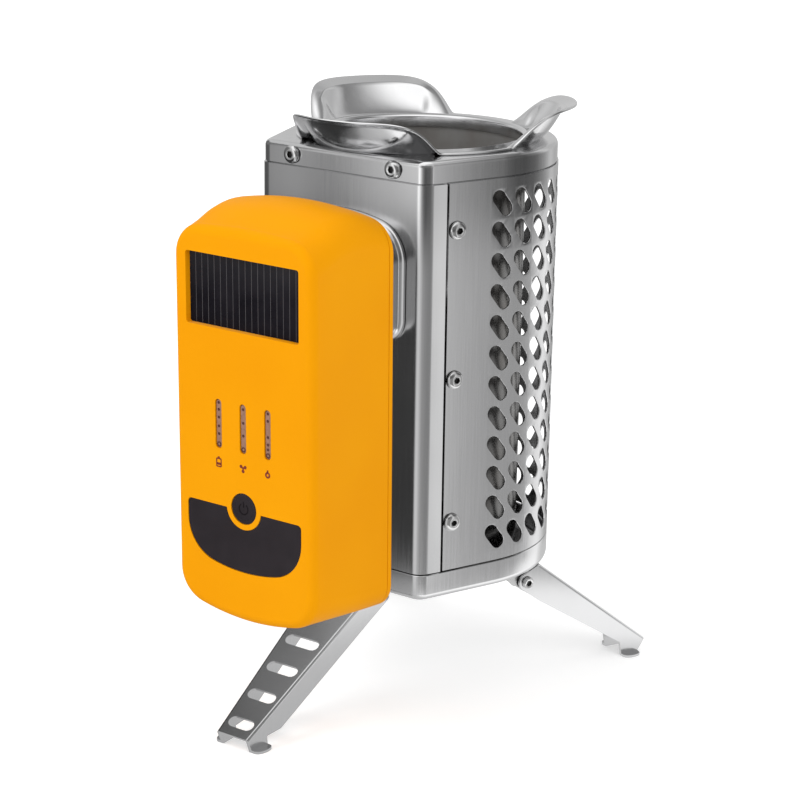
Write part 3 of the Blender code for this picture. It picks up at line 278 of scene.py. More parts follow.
def polished_steel(name, color, rough):
    """Pressed and polished sheet: long soft waves and faint wipe marks."""
    look = Look(name, color, rough, Metallic=1.0)
    wipes = look.noise(420.0, (1.0, 1.0, 0.12))
    look.dress(Roughness=look.math("ADD", look.spread(wipes, -0.03, 0.05), rough))
    look.bump(look.noise(45.0, detail=2.0), 0.25, 0.0005)
    look.bump(wipes, 0.06, 0.0001)
    return look.material


def scorched_steel(name, color, rough, metal=1.0):
    """Chamber sheet: dull steel with darker, faintly browned clouds."""
    look = Look(name, color, rough, Metallic=metal)
    clouds = look.noise(60.0, (1, 1, 0.6), detail=5.0)
    streaks = look.noise(900.0, (1.0, 1.0, 0.03))
    browned = tuple(value * share for value, share in zip(color, (0.78, 0.74, 0.7)))
    look.dress(
        Base_Color=look.mix(look.spread(clouds, 0.0, 1.0, 0.4, 0.75), color, browned),
        Roughness=look.math("ADD", look.spread(streaks, -0.03, 0.04), rough),
    )
    look.bump(clouds, 0.05, 0.0002)
    return look.material


def yellow_plastic(name):
    """Satin moulding with a fine spark texture and slight tone drift."""
    look = Look(name, (0.955, 0.372, 0.0012), 0.45, Specular_IOR_Level=0.03)
    drift = look.spread(look.noise(16.0, detail=2.0), 0.0, 1.0)
    spark = look.noise(5200.0, detail=2.0)
    look.dress(
        Base_Color=look.mix(drift, (0.93, 0.352, 0.001), (0.97, 0.39, 0.0015)),
        Roughness=look.spread(spark, 0.37, 0.5),
    )
    look.bump(spark, 0.05, 0.00005)
    return look.material


def grained(look, color, rough, grain, drift, changes, rough_span, strength, distance):
    """Dresses a look whose colour changes with one noise and whose roughness and relief follow another."""
    look.dress(
        Base_Color=look.mix(look.spread(drift, 0.0, 1.0), *(tone(color, change) for change in changes)),
        Roughness=look.spread(grain, rough + rough_span[0], rough + rough_span[1]),
    )
    look.bump(grain, strength, distance)
    return look.material


def charcoal_rubber(name, color=(0.030, 0.0245, 0.0285), rough=0.55):
    look = Look(name, color, rough, Specular_IOR_Level=0.15)
    grain = look.noise(3000.0)
    drift = look.noise(60.0, detail=2.0)
    return grained(look, color, rough, grain, drift, (-0.14, 0.16), (-0.06, 0.1), 0.12, 0.00006)


def plain_plastic(name, color, rough, scale=1200.0, variation=0.12, metal=0.0):
    look = Look(name, color, rough, Metallic=metal)
    grain = look.noise(scale)
    return grained(look, color, rough, grain, grain, (-variation, variation), (-0.05, 0.08), 0.08, 0.00005)


def solar_glass(name):
    """Near-black cell with thin pale fingers at an even pitch under a smooth cover."""
    look = Look(name, (0.009, 0.008, 0.011), 0.16, Specular_IOR_Level=0.3)
    across = look.node("ShaderNodeSeparateXYZ", look.place).outputs[0]
    phase = look.math("FRACT", look.math("ADD", look.math("DIVIDE", across, CELL_LINE_PITCH * MM), 100.5))
    line = look.math("LESS_THAN", look.math("ABSOLUTE", look.math("SUBTRACT", phase, 0.5)), 0.035)
    clouds = look.spread(look.noise(90.0), 0.0, 1.0)
    ground = look.mix(clouds, (0.008, 0.007, 0.010), (0.014, 0.012, 0.016))
    look.dress(
        Base_Color=look.mix(line, ground, (0.10, 0.095, 0.10)),
        Roughness=look.spread(clouds, 0.12, 0.22, 0.0, 1.0),
    )
    return look.material


def circuit_green(name):
    """Solder mask with paler copper runs underneath."""
    look = Look(name, (0.02, 0.12, 0.05), 0.35)
    cells = look.node("ShaderNodeTexVoronoi", Vector=look.place, Scale=260.0)
    cells.feature = "DISTANCE_TO_EDGE"
    runs = look.math("LESS_THAN", cells.outputs[0], 0.06)
    look.dress(Base_Color=look.mix(runs, (0.012, 0.10, 0.04), (0.05, 0.22, 0.09)))
    look.bump(runs, 0.2, 0.00005)
    return look.material


# Mesh tools


def arc(centre, radius, start, end, steps):
    """Points along an arc; the angles are in radians."""
    turns = [start + (end - start) * step / steps for step in range(steps + 1)]
    return [(centre[0] + radius * math.cos(turn), centre[1] + radius * math.sin(turn)) for turn in turns]


def circle(radius, steps, centre=(0, 0)):
    return arc(centre, radius, 0, 2 * math.pi, steps)[:-1]


def at_height(outline, height):
    return [(x, y, height) for x, y in outline]


def at_depth(outline, depth):
    return [(x, depth, z) for x, z in outline]


def turned(profile, segments):
    """Rings of a solid turned about the vertical axis, from (radius, height) pairs."""
    return [at_height(circle(radius, segments), height) for radius, height in profile]


def skin(form, rings, loop=False, caps=True):
    """Skins equally long rings of points. With loop the last ring joins the first, as in a hollow wall."""
    rows = [[form.verts.new(point) for point in ring] for ring in rings]
    count = len(rows[0])
    for lower, upper in zip(rows, rows[1:] + rows[:1] if loop else rows[1:]):
        for k in range(count):
            after = (k + 1) % count
            form.faces.new((lower[k], lower[after], upper[after], upper[k]))
    if caps and not loop:
        form.faces.new(rows[0][::-1])
        form.faces.new(rows[-1])


def form_mesh(builder, closed=True):
    """Runs a function that fills a bmesh, turns a closed body's faces outwards and returns the mesh."""
    form = bmesh.new()
    builder(form)
    if closed:
        bmesh.ops.recalc_face_normals(form, faces=form.faces)
    mesh = bpy.data.meshes.new("shape")
    form.to_mesh(mesh)
    form.free()
    return mesh


def ring_mesh(rings, loop=False):
    return form_mesh(lambda form: skin(form, rings, loop))


def aim(direction):
    """Rotation that turns +Z to the given direction."""
    return Vector((0, 0, 1)).rotation_difference(Vector(direction)).to_matrix().to_4x4()


def turned_forwards(profile, segments, place):
    """A solid turned about an axis that points forwards from a place."""
    mesh = ring_mesh(turned(profile, segments))
    mesh.transform(Matrix.Translation(place) @ aim((0, -1, 0)))
    return mesh


def leaned(lean):
    """Shear that moves what is below the probe's height backwards, by lean for each unit of height."""
    shear = Matrix.Identity(4)
    shear[1][2] = -lean
    shear[1][3] = lean * PROBE_Z
    return shear


def make_object(name, mesh, lean=0.0):
    """Moves a millimetre mesh to its place in the frame and makes an object of it."""
    mesh.name = name
    mesh.transform(Matrix.Scale(MM, 4) @ Matrix.Translation(SHIFT) @ leaned(lean))
    item = bpy.data.objects.new(name, mesh)
    bpy.context.scene.collection.objects.link(item)
    return item


def add_modifier(item, kind, **settings):
    modifier = item.modifiers.new(kind.lower(), kind)
    for key, value in settings.items():
        setattr(modifier, key, value)


def apply_modifiers(item):
    graph = bpy.context.evaluated_depsgraph_get()
    mesh = bpy.data.meshes.new_from_object(item.evaluated_get(graph))
    item.modifiers.clear()
    item.data = mesh


def dress_piece(item, material, body, node, sharp=35.0):
    """Shades a piece, its flats level up to their rounded edges, ties it to its body and hides the node it
    stands for.
    """
    item.data.materials.clear()
    item.data.materials.append(material)
    item.data.shade_smooth()
    item.data.set_sharp_from_angle(angle=math.radians(sharp))
    add_modifier(item, "WEIGHTED_NORMAL", keep_sharp=True)
    apply_modifiers(item)
    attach(item, body)
    item.visible_glossy = body in STEEL_BODIES
    if node:
        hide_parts(node)


def finish_piece(name, mesh, material, body, slot, node=None, cuts=(), sharp=35.0, lean=0.0):
    """Makes a piece from a mesh: cuts it, dresses it, ties it to its body and hides the node it stands for.
    """
    item = make_object(name, mesh, lean)
    for operation, tool in cuts:
        knife = make_object("knife", tool, lean)
        add_modifier(item, "BOOLEAN", operation=operation, object=knife)
        apply_modifiers(item)
        bpy.data.objects.remove(knife, do_unlink=True)
    dress_piece(item, material, body, node, sharp)
    return item


def stove_piece(name, mesh, material, slot, node, **settings):
    return finish_piece(name, mesh, material, "stove", slot, node, **settings)


def pack_piece(name, mesh, material, slot, node=None, body="power_pack", **settings):
    return finish_piece(name, mesh, material, body, slot, node, lean=PACK_LEAN, **settings)


def paint_faces(item, material, chosen):
    """Gives some of a piece's faces a second material."""
    item.data.materials.append(material)
    for face in item.data.polygons:
        if chosen(face):
            face.material_index = 1


def cut(outline, near_y, far_y, operation="DIFFERENCE"):
    """One step of a piece's cutting, with a block that has the given outline in the XZ plane."""
    return operation, ring_mesh([at_depth(outline, y) for y in (near_y, far_y)])


def rounded_outline(half_width, low, high, radius, steps=6, x=0.0):
    """Closed outline of a rectangle with round corners, its middle at x."""
    points = []
    lower = low + radius
    upper = high - radius
    for side, z, start in ((1, lower, -0.5), (1, upper, 0), (-1, upper, 0.5), (-1, lower, 1)):
        centre = (x + side * (half_width - radius), z)
        points += arc(centre, radius, math.pi * start, math.pi * (start + 0.5), steps)
    return points


# Stove body


def side_normal_angle():
    """Direction in which the straight side wall faces, from its tangency to the corner and shoulder arcs."""
    across = CORNER_X - SHOULDER_X
    along = FRONT_Y + CORNER_RADIUS - SHOULDER_Y
    span = math.hypot(across, along)
    return math.atan2(along, across) + math.acos((SHOULDER_RADIUS - CORNER_RADIUS) / span)


def body_half(inset, corner_steps, shoulder_steps):
    """Right half of the plan outline, from the front corner round to the back centre."""
    corner = (CORNER_X, FRONT_Y + CORNER_RADIUS)
    shoulder = (SHOULDER_X, SHOULDER_Y)
    turn = side_normal_angle()
    half = arc(corner, CORNER_RADIUS - inset, -math.pi / 2, turn, corner_steps)
    return half + arc(shoulder, SHOULDER_RADIUS - inset, turn, math.pi / 2, shoulder_steps)


def body_outline(inset=0.0):
    half = body_half(inset, 10, 40)
    return half + [(-x, y) for x, y in reversed(half)]


class OutlinePath:
    """The plan outline measured by length from the front centre, positive towards the right."""

    def __init__(self):
        half = [(0.0, FRONT_Y)] + body_half(0.0, 40, 400)
        self.points = half + [(-x, y) for x, y in reversed(half[1:])]
        self.lengths = [0.0]
        for first, second in zip(self.points, self.points[1:] + self.points[:1]):
            self.lengths.append(self.lengths[-1] + math.dist(first, second))
        self.total = self.lengths.pop()

    def place(self, length, inset=0.0):
        """Point at a length along the outline, moved inwards by inset."""
        length %= self.total
        index = bisect_right(self.lengths, length) - 1
        start = Vector(self.points[index])
        run = (Vector(self.points[(index + 1) % len(self.points)]) - start).normalized()
        return start + run * (length - self.lengths[index]) + Vector((-run.y, run.x)) * inset


PATH = OutlinePath()


def quarter_turn(radius, steps):
    """Points of a quarter circle as (inset, drop) pairs, from (0, radius) to (radius, 0)."""
    turns = [math.pi / 2 * step / steps for step in range(steps + 1)]
    return [(radius * (1 - math.cos(turn)), radius * (1 - math.sin(turn))) for turn in turns]


def edge_profile(radius, wall, steps):
    """A sheet's rounded edge as (inset, drop) pairs: outside from the flat to the skirt, then back inside."""
    outer = [(inset, drop) for drop, inset in quarter_turn(radius, steps)]
    inner = [(wall + inset, wall + drop) for drop, inset in reversed(quarter_turn(radius - wall, steps))]
    return outer, inner


def build_pan(material):
    """Shallow drawn tray under the stove."""
    outer, inner = edge_profile(3.0, SHEET, 6)
    top = PAN_HEIGHT - GAP
    profile = outer + [(0.0, top - LIP), (LIP, top), (SHEET - LIP, top), (SHEET, top - LIP)] + inner
    rings = [at_height(body_outline(inset), height) for inset, height in profile]
    stove_piece("pan_sheet", ring_mesh(rings), material, "brushed_steel", "base_pan")


def build_shell(material):
    """Sheet over the front face and both front corners, with the aperture behind the docking collar."""
    half = SEAM_LENGTH - SEAM_GAP / 2
    bend = CORNER_RADIUS * (side_normal_angle() + math.pi / 2)
    edge = 0.3
    lengths = [0.0, CORNER_X * 0.5, CORNER_X] + [CORNER_X + bend * step / 14 for step in range(1, 15)]
    lengths += [half - edge * 2, half - edge]
    lengths = sorted({-value for value in lengths} | set(lengths))
    flare_start = CORNER_X + bend - 2 * edge

    def place(value, inset=0.0):
        """The flange past each bend stands a little proud towards the seam."""
        proud = max(0.0, abs(value) - flare_start) * SHELL_FLARE
        return PATH.place(value, inset - proud)

    right, left = ([place(side * half, edge), place(side * half, SHEET - edge)] for side in (1, -1))
    ring = [place(value) for value in lengths] + right
    ring += [place(value, SHEET) for value in reversed(lengths)] + left[::-1]
    rings = [at_height(ring, height) for height in (WALL_LOW, WALL_LOW + edge, WALL_HIGH - edge, WALL_HIGH)]
    aperture = rounded_outline(COLLAR_HALF_WIDTH - 9, COLLAR_LOW + 8, COLLAR_HIGH - 8, 8.0)
    cuts = [cut(aperture, FRONT_Y - 3, FRONT_Y + 4)]
    stove_piece("shell_sheet", ring_mesh(rings), material, "brushed_steel", "front_shell", cuts=cuts)


def obround(length, width, slant, count):
    """Evenly spaced points round an obround that leans by slant, anticlockwise from its right end."""
    radius = width / 2
    straight = (length - width) / 2
    half = math.pi * radius + 2 * straight
    turn = Matrix.Rotation(slant, 2)
    points = []
    for step in range(count):
        second_half, run = divmod(2 * half * step / count, half)
        angle = (run - straight) / radius
        if run < straight:
            point = Vector((radius, run))
        elif run < straight + math.pi * radius:
            point = Vector((radius * math.cos(angle), straight + radius * math.sin(angle)))
        else:
            point = Vector((-radius, half - run))
        points.append(turn @ (-point if second_half else point))
    return points


def bearing_gap(first, second):
    turn = math.atan2(first[1], first[0]) - math.atan2(second[1], second[0])
    return abs((turn + math.pi) % (2 * math.pi) - math.pi)


def perforated_sheet(form, columns, rows, holes, place, thickness, per_side):
    """A curved sheet on a grid of levels. holes lists (first column level, first row level, rim outline)."""
    soft = 0.22
    steps = range(per_side)
    wall = {}
    taken = set()

    def vert(length, height, depth):
        key = (round(length, 4), round(height, 4), depth)
        if key not in wall:
            wall[key] = form.verts.new(place(length, height, depth))
        return wall[key]

    for c, r, outline in holes:
        taken |= {(c + i, r + j) for i in steps for j in steps}
        border = [(c + i, r) for i in steps] + [(c + per_side, r + i) for i in steps]
        border += [(c + per_side - i, r + per_side) for i in steps] + [(c, r + per_side - i) for i in steps]
        border = [(columns[i], rows[j]) for i, j in border]
        count = len(border)
        middle = Vector((columns[c] + columns[c + per_side], rows[r] + rows[r + per_side])) / 2
        start = min(range(count), key=lambda k: bearing_gap(outline[k], Vector(border[0]) - middle))
        loops = [[vert(*point, 0.0) for point in border]]
        for grow, depth in ((soft, 0.0), (0.0, soft), (0.0, thickness - soft), (soft, thickness)):
            rim = [middle + point * (1 + grow / point.length) for point in outline[start:] + outline[:start]]
            loops.append([form.verts.new(place(spot.x, spot.y, depth)) for spot in rim])
        loops.append([vert(*point, thickness) for point in border])
        for near, far in zip(loops, loops[1:]):
            for k in range(count):
                form.faces.new((near[k - 1], near[k], far[k], far[k - 1]))
    for c in range(len(columns) - 1):
        for r in range(len(rows) - 1):
            if (c, r) in taken:
                continue
            corners = ((c, r), (c + 1, r), (c + 1, r + 1), (c, r + 1))
            for depth in (0.0, thickness):
                form.faces.new([vert(columns[i], rows[j], depth) for i, j in corners])
    edges = []
    for side in (columns[0], columns[-1]):
        edges += [((side, low), (side, high)) for low, high in zip(rows, rows[1:])]
    for end in (rows[0], rows[-1]):
        edges += [((left, end), (right, end)) for left, right in zip(columns, columns[1:])]
    for first, second in edges:
        corners = ((first, 0.0), (second, 0.0), (second, thickness), (first, thickness))
        form.faces.new([vert(*point, depth) for point, depth in corners])


def extend(levels, high, step):
    """Carries a list of levels on up to high, about a step apart. Returns the last one's place in it."""
    low = levels[-1]
    count = max(1, round((high - low) / step))
    levels += [low + (high - low) * k / count for k in range(1, count + 1)]
    return len(levels) - 1


def build_guard(material):
    """The perforated guard wrapped round the sides and back, with softened slot rims."""
    start = SEAM_LENGTH + SEAM_GAP / 2
    pitch = (PATH.total - 2 * GUARD_FIRST_COLUMN) / (GUARD_COLUMNS - 1)
    first = GUARD_FIRST_COLUMN - pitch / 2
    bottom = GUARD_TOP_ROW - GUARD_ROW_PITCH * (GUARD_ROWS - 0.5)
    per_side = 6
    columns, rows = [start], [WALL_LOW]
    first_column = extend(columns, first, 2.2)
    extend(columns, first + pitch * GUARD_COLUMNS, pitch / per_side)
    extend(columns, PATH.total - start, 2.2)
    first_row = extend(rows, bottom, 3.0)
    extend(rows, bottom + GUARD_ROW_PITCH * GUARD_ROWS, GUARD_ROW_PITCH / per_side)
    extend(rows, WALL_HIGH, 3.0)
    outline = obround(SLOT_LENGTH, SLOT_WIDTH, SLOT_SLANT, 4 * per_side)
    holes = [
        (first_column + per_side * c, first_row + per_side * r, outline)
        for c in range(GUARD_COLUMNS)
        for r in range(GUARD_ROWS)
    ]

    def place(length, height, inset):
        return Vector((*PATH.place(length, inset), height))

    mesh = form_mesh(lambda form: perforated_sheet(form, columns, rows, holes, place, SHEET, per_side))
    stove_piece("guard_sheet", mesh, material, "brushed_steel", "heat_mesh", sharp=50)


def build_cap(material):
    """Flat lid with a rounded edge and a skirt, and a thin tongue that tucks inside the sheets below."""
    outer, inner = edge_profile(2.5, SHEET, 7)
    tongue_drop = 1.3
    tongue_side = SHEET - 0.3

    def mouth_ring(grow, height):
        """The mouth's circle, with its points in the directions of the outline's points."""
        turns = [math.atan2(y - MOUTH_Y, x) for x, y in body_outline()]
        radius = MOUTH_RADIUS + 0.6 + grow
        return [(radius * math.cos(turn), MOUTH_Y + radius * math.sin(turn), height) for turn in turns]

    profile = [(outer[0][0] + 0.6, BODY_TOP)] + [(inset, BODY_TOP - drop) for inset, drop in outer]
    profile += [(0.0, CAP_BOTTOM + LIP), (LIP, CAP_BOTTOM), (tongue_side, CAP_BOTTOM)]
    profile += [(tongue_side, CAP_BOTTOM - tongue_drop), (SHEET, CAP_BOTTOM - tongue_drop)]
    profile += [(inset, BODY_TOP - drop) for inset, drop in inner]
    rings = [mouth_ring(0.0, BODY_TOP), mouth_ring(3.0, BODY_TOP)]
    rings += [at_height(body_outline(CAP_INSET + inset), height) for inset, height in profile]
    rings.append(mouth_ring(0.0, BODY_TOP - SHEET))
    stove_piece("cap_lid", ring_mesh(rings, loop=True), material, "brushed_steel", "top_cap")


def petal_edge(angle):
    """Radius and height of the pot support's free edge in one direction, and how far across a petal it is."""
    lip_height = BODY_TOP + SHEET
    turns = [abs((angle - centre + 180) % 360 - 180) / PETAL_HALF_SPAN for centre in PETAL_ANGLES]
    spread = min(turns)
    if spread >= 1.0:
        return LIP_RADIUS, lip_height, 1.0
    petal_reach = PETAL_REACHES[turns.index(spread)]
    reach = (1 - spread**2.45) ** 1.2
    rise = (1 - spread**5.3) ** 1.74
    radius = LIP_RADIUS + (petal_reach - LIP_RADIUS) * reach
    return radius, lip_height + (PETAL_TOP - lip_height) * rise, spread


def smooth_step(value, start, end):
    share = min(max((value - start) / (end - start), 0.0), 1.0)
    return share * share * (3 - 2 * share)


def petal_lift(share, spread):
    """Rise of the sheet between mouth and free edge: a flat lip, a bowl-shaped panel and a flatter rim."""
    lip, crease, crease_rise = 0.17, 0.68, 0.84
    if share <= lip:
        return 0.0
    along = (share - lip) / (1 - lip)
    plain = 1 - (1 - along) ** 1.6
    if share < crease:
        bowl = crease_rise * ((share - lip) / (crease - lip)) ** 1.6
    else:
        bowl = crease_rise + (1 - crease_rise) * (share - crease) / (1 - crease)
    side = smooth_step(spread, 0.58, 0.72)
    return bowl + (plain - bowl) * side


def petal_sheet(angle, share):
    """Point of the pot support's lower side."""
    root_height = BODY_TOP + GAP
    edge_radius, edge_height, spread = petal_edge(angle)
    radius = MOUTH_RADIUS + share * (edge_radius - MOUTH_RADIUS)
    turn = math.radians(angle)
    height = root_height + (edge_height - root_height) * petal_lift(share, spread)
    return Vector((radius * math.cos(turn), MOUTH_Y + radius * math.sin(turn), height))


def build_pot_support(material):
    """One sheet ring with three petals bent up and out, a rolled edge and a short sleeve in the mouth."""
    count = 288
    angles = [360 * k / count for k in range(count)]
    shares = (
        0.0, 0.08, 0.15, 0.18, 0.22, 0.27, 0.33, 0.4, 0.47,
        0.54, 0.6, 0.65, 0.68, 0.71, 0.76, 0.84, 0.92, 1.0,
    )
    top = BODY_TOP + GAP + SHEET
    sleeve = (
        (46.6, -0.15), (45.6, 0.0), (44.8, 0.5), (44.4, 1.4),
        (44.3, 5.5), (45.0, 5.5), (45.1, 1.6), (45.5, 0.9),
    )

    def directions(angle, share):
        """Up from the sheet, and outwards along it."""
        low, high = max(0.0, share - 0.01), min(1.0, share + 0.01)
        out = petal_sheet(angle, high) - petal_sheet(angle, low)
        around = petal_sheet(angle + 0.5, share) - petal_sheet(angle - 0.5, share)
        return around.cross(out).normalized(), out.normalized()

    def upper_sheet(angle, share):
        return petal_sheet(angle, share) + directions(angle, share)[0] * SHEET

    def rolled_edge(angle, turn):
        """Point on the free edge, by its turn from the lower side to the upper."""
        up, out = directions(angle, 1.0)
        middle = petal_sheet(angle, 1.0) + up * SHEET / 2
        return middle + (out * math.sin(turn) - up * math.cos(turn)) * SHEET / 2

    rings = [[petal_sheet(angle, share) for angle in angles] for share in shares]
    rings += [[rolled_edge(angle, math.radians(turn)) for angle in angles] for turn in (30, 90, 150)]
    rings += [[upper_sheet(angle, share) for angle in angles] for share in shares[:0:-1]]
    rings += [at_height(circle(radius, count, (0, MOUTH_Y)), top - drop) for radius, drop in sleeve]
    mesh = ring_mesh(rings, loop=True)
    stove_piece("petal_ring", mesh, material, "polished_steel", "pot_support", sharp=50)


def build_chamber(inside, outside):
    """Inner cylinder with low and high air holes and one hole for the heat probe."""
    per_side = 4
    cells = 24
    cell = 2 * math.pi * CHAMBER_RADIUS / cells
    columns, rows = [0.0], [SHEET + GAP]
    extend(columns, cell * cells, cell / per_side)
    starts = []
    for height in AIR_HOLE_HEIGHTS:
        starts.append(extend(rows, height - cell / 2, 12.0))
        extend(rows, height + cell / 2, cell / per_side)
    extend(rows, BODY_TOP - SHEET - GAP, 3.0)
    outline = obround(AIR_HOLE_WIDTH, AIR_HOLE_WIDTH, 0.0, 4 * per_side)
    holes = [(per_side * c, start, outline) for c in range(0, cells, 2) for start in starts]

    def place(length, height, inset):
        turn = length / CHAMBER_RADIUS
        radius = CHAMBER_RADIUS + CHAMBER_WALL - inset
        return Vector((radius * math.cos(turn), MOUTH_Y + radius * math.sin(turn), height))

    def builder(form):
        """Rolls the sheet up and takes out the two ends that meet."""
        perforated_sheet(form, columns, rows, holes, place, CHAMBER_WALL, per_side)
        seam = [f for f in form.faces if all(abs(v.co.y - MOUTH_Y) < 1e-3 and v.co.x > 0 for v in f.verts)]
        bmesh.ops.delete(form, geom=seam, context="FACES_ONLY")
        bmesh.ops.remove_doubles(form, verts=form.verts, dist=1e-3)

    drill = turned_forwards([(PROBE_HOLE_RADIUS, 30), (PROBE_HOLE_RADIUS, 70)], 32, (0, 0, PROBE_Z))
    cuts = [("DIFFERENCE", drill)]
    mesh = form_mesh(builder)
    item = stove_piece("chamber_wall", mesh, inside, "scorched_steel", "burn_chamber", cuts=cuts, sharp=50)
    axis = (Vector((0, MOUTH_Y, 0)) + SHIFT) * MM
    # The outer faces take the darker copy of the chamber steel: painted shade behind the guard.
    paint_faces(item, outside, lambda face: face.normal.xy.dot((face.center - axis).xy) > 0)


def crowned_outline(half_width, bottom, top, crown_low, crown_high, corner_low, corner_high):
    """Closed outline in the XZ plane with crowned ends. A crown of 0 gives a flat end."""
    steps = 10

    def quarter(end, crown, corner, direction):
        centre_x = half_width - corner
        if crown == 0:
            centre_z = end + direction * corner
            return arc((centre_x, centre_z), corner, -direction * math.pi / 2, 0, steps)
        reach = crown - corner
        centre_z = end + direction * (crown - math.sqrt(reach**2 - centre_x**2))
        start = math.atan2(-direction * math.sqrt(reach**2 - centre_x**2), centre_x)
        crown_points = arc((0, end + direction * crown), crown, -direction * math.pi / 2, start, steps)
        return crown_points[1:-1] + arc((centre_x, centre_z), corner, start, 0, steps)

    right = quarter(bottom, crown_low, corner_low, 1) + quarter(top, crown_high, corner_high, -1)[::-1]
    middle_low = [(0.0, bottom)] if crown_low else []
    middle_high = [(0.0, top)] if crown_high else []
    return middle_low + right + middle_high + [(-x, z) for x, z in reversed(right)]


def collar_outline(inset):
    return crowned_outline(
        COLLAR_HALF_WIDTH - inset, COLLAR_LOW + inset, COLLAR_HIGH - inset,
        0, COLLAR_CROWN - inset, COLLAR_LOW_CORNER - inset, COLLAR_HIGH_CORNER - inset,
    )


def build_collar(material):
    """Drawn frame on the front face: a filleted foot, a straight wall and an edge rolled inwards."""
    back = FRONT_Y - GAP
    front = FRONT_Y - COLLAR_DEPTH
    foot = 2.0
    roll = 2.0
    inner = reversed(quarter_turn(roll - SHEET, 4))
    profile = [(-foot, back), (-foot, back - SHEET * 0.8)]
    profile += [(-drop, back - SHEET - inset) for inset, drop in quarter_turn(foot, 6)]
    profile += [(inset, front + drop) for inset, drop in quarter_turn(roll, 6)]
    profile.append((roll, front + SHEET))
    profile += [(SHEET + inset, front + SHEET + drop) for inset, drop in inner]
    profile.append((SHEET, back))
    mesh = ring_mesh([at_depth(collar_outline(inset), y) for inset, y in profile], loop=True)
    stove_piece("collar_frame", mesh, material, "polished_steel", "docking_collar")


def screw_mesh(head_radius=3.9, head_height=2.0):
    """Button-head screw on the plane z = 0: a thin flange, a domed head and a six-sided socket."""
    segments = 36
    flange = 0.25
    crown = SOCKET_RADIUS + 0.35
    dome = [(head_radius, 0.0), (head_radius, flange)]
    for step in range(1, 8):
        angle = math.pi / 2 * step / 8
        radius = crown + (head_radius - crown) * math.cos(angle)
        dome.append((radius, flange + head_height * 0.88 * math.sin(angle)))
    dome.append((SOCKET_RADIUS + 0.3, head_height))

    def hexagon(radius, height):
        ring = []
        for step in range(segments):
            turn = 2 * math.pi * step / segments
            reach = radius * math.cos(math.pi / 6) / math.cos((turn % (math.pi / 3)) - math.pi / 6)
            ring.append((reach * math.cos(turn), reach * math.sin(turn), height))
        return ring

    rings = turned(dome, segments) + [hexagon(SOCKET_RADIUS, head_height - 0.12)]
    rings += [hexagon(SOCKET_RADIUS, head_height * 0.3), hexagon(SOCKET_RADIUS * 0.3, head_height * 0.2)]
    return ring_mesh(rings)


def place_screw(name, node, mesh, spot, direction, material, dark):
    """Adds a screw or pin. The faces inside its sockets get a near-black material: painted shade in the
    socket recess.
    """
    mesh.transform(Matrix.Translation(spot) @ aim(direction))
    item = stove_piece(name, mesh, material, "screw_steel", node, sharp=30)
    start = (spot + SHIFT) * MM
    axis = direction.normalized()

    def inside(face):
        offset = face.center - start
        return (offset - axis * offset.dot(axis)).length < SOCKET_RADIUS * MM * 1.02

    paint_faces(item, dark, inside)


def build_screws(material, dark):
    """Two screws on the cap's front and three down each edge of the guard."""
    head_gap = 0.05
    depth = FRONT_Y + CAP_INSET - GAP - head_gap
    forwards = Vector((0, -1, 0))
    for number, side in ((1, -1), (2, 1)):
        spot = Vector((side * CAP_SCREW_X, depth, (CAP_BOTTOM + BODY_TOP) / 2))
        node = f"cap_screw_{number}"
        place_screw(f"cap_screw_head_{number}", node, screw_mesh(), spot, forwards, material, dark)
    seat = PATH.place(MESH_SCREW_LENGTH, -GAP)
    outward = PATH.place(MESH_SCREW_LENGTH, -1.0) - PATH.place(MESH_SCREW_LENGTH)
    for side, word in ((1, "right"), (-1, "left")):
        direction = Vector((side * outward.x, outward.y, 0))
        for number, height in enumerate(MESH_SCREW_HEIGHTS, start=1):
            spot = Vector((side * seat.x, seat.y, height))
            node = f"mesh_screw_{word}_{number}"
            place_screw(f"{node}_head", node, screw_mesh(), spot, direction, material, dark)


# Legs


def mirrored(leg):
    x, y, z = leg["pivot"]
    return dict(leg, turn=180.0 - leg["turn"], pivot=(-x, y, z))


def leg_frame(leg):
    """Pivot of a deployed leg and its axes: along it, across it and up through its web."""
    turn = math.radians(leg["turn"])
    slope = math.radians(leg["slope"])
    outward = Vector((math.cos(turn), math.sin(turn), 0))
    along = outward * math.cos(slope) + Vector((0, 0, -math.sin(slope)))
    across = Vector((-math.sin(turn), math.cos(turn), 0))
    above = along.cross(across)
    if above.z < 0:
        above.negate()
    return Vector(leg["pivot"]), along, across, above


def leg_half_width(leg, distance):
    return leg["root_half"] + (leg["foot_half"] - leg["root_half"]) * distance / leg["length"]


def floor_up(leg, distance):
    """Height over the pivot line at which the outside of the sheet stands on the floor."""
    slope = math.radians(leg["slope"])
    drop = FLOOR_Z + LEG_SHEET - leg["pivot"][2]
    return (drop + distance * math.sin(slope)) / math.cos(slope)


def leg_side_profile(leg):
    """Outline of one flange as (along, up) from the pivot."""
    web = leg["web"]
    root = [(0.4, web)] + arc((0, 0), leg["root_round"], 0.85 * math.pi, 1.5 * math.pi, 10)
    foot = [(distance, floor_up(leg, distance)) for distance in (leg["foot_start"], leg["length"] + 0.5)]
    return root + [(12.0, web - leg["depth_root"]), *leg["notch"], *foot, (leg["length"], web)]


def fill_sheet(form, loops, place):
    """Fills an outline with holes on a surface given by place."""
    edges = []
    for loop in loops:
        verts = [form.verts.new(place(a, b)) for a, b in loop]
        edges += [form.edges.new(pair) for pair in zip(verts, verts[1:] + verts[:1])]
    bmesh.ops.triangle_fill(form, use_beauty=True, use_dissolve=True, edges=edges)


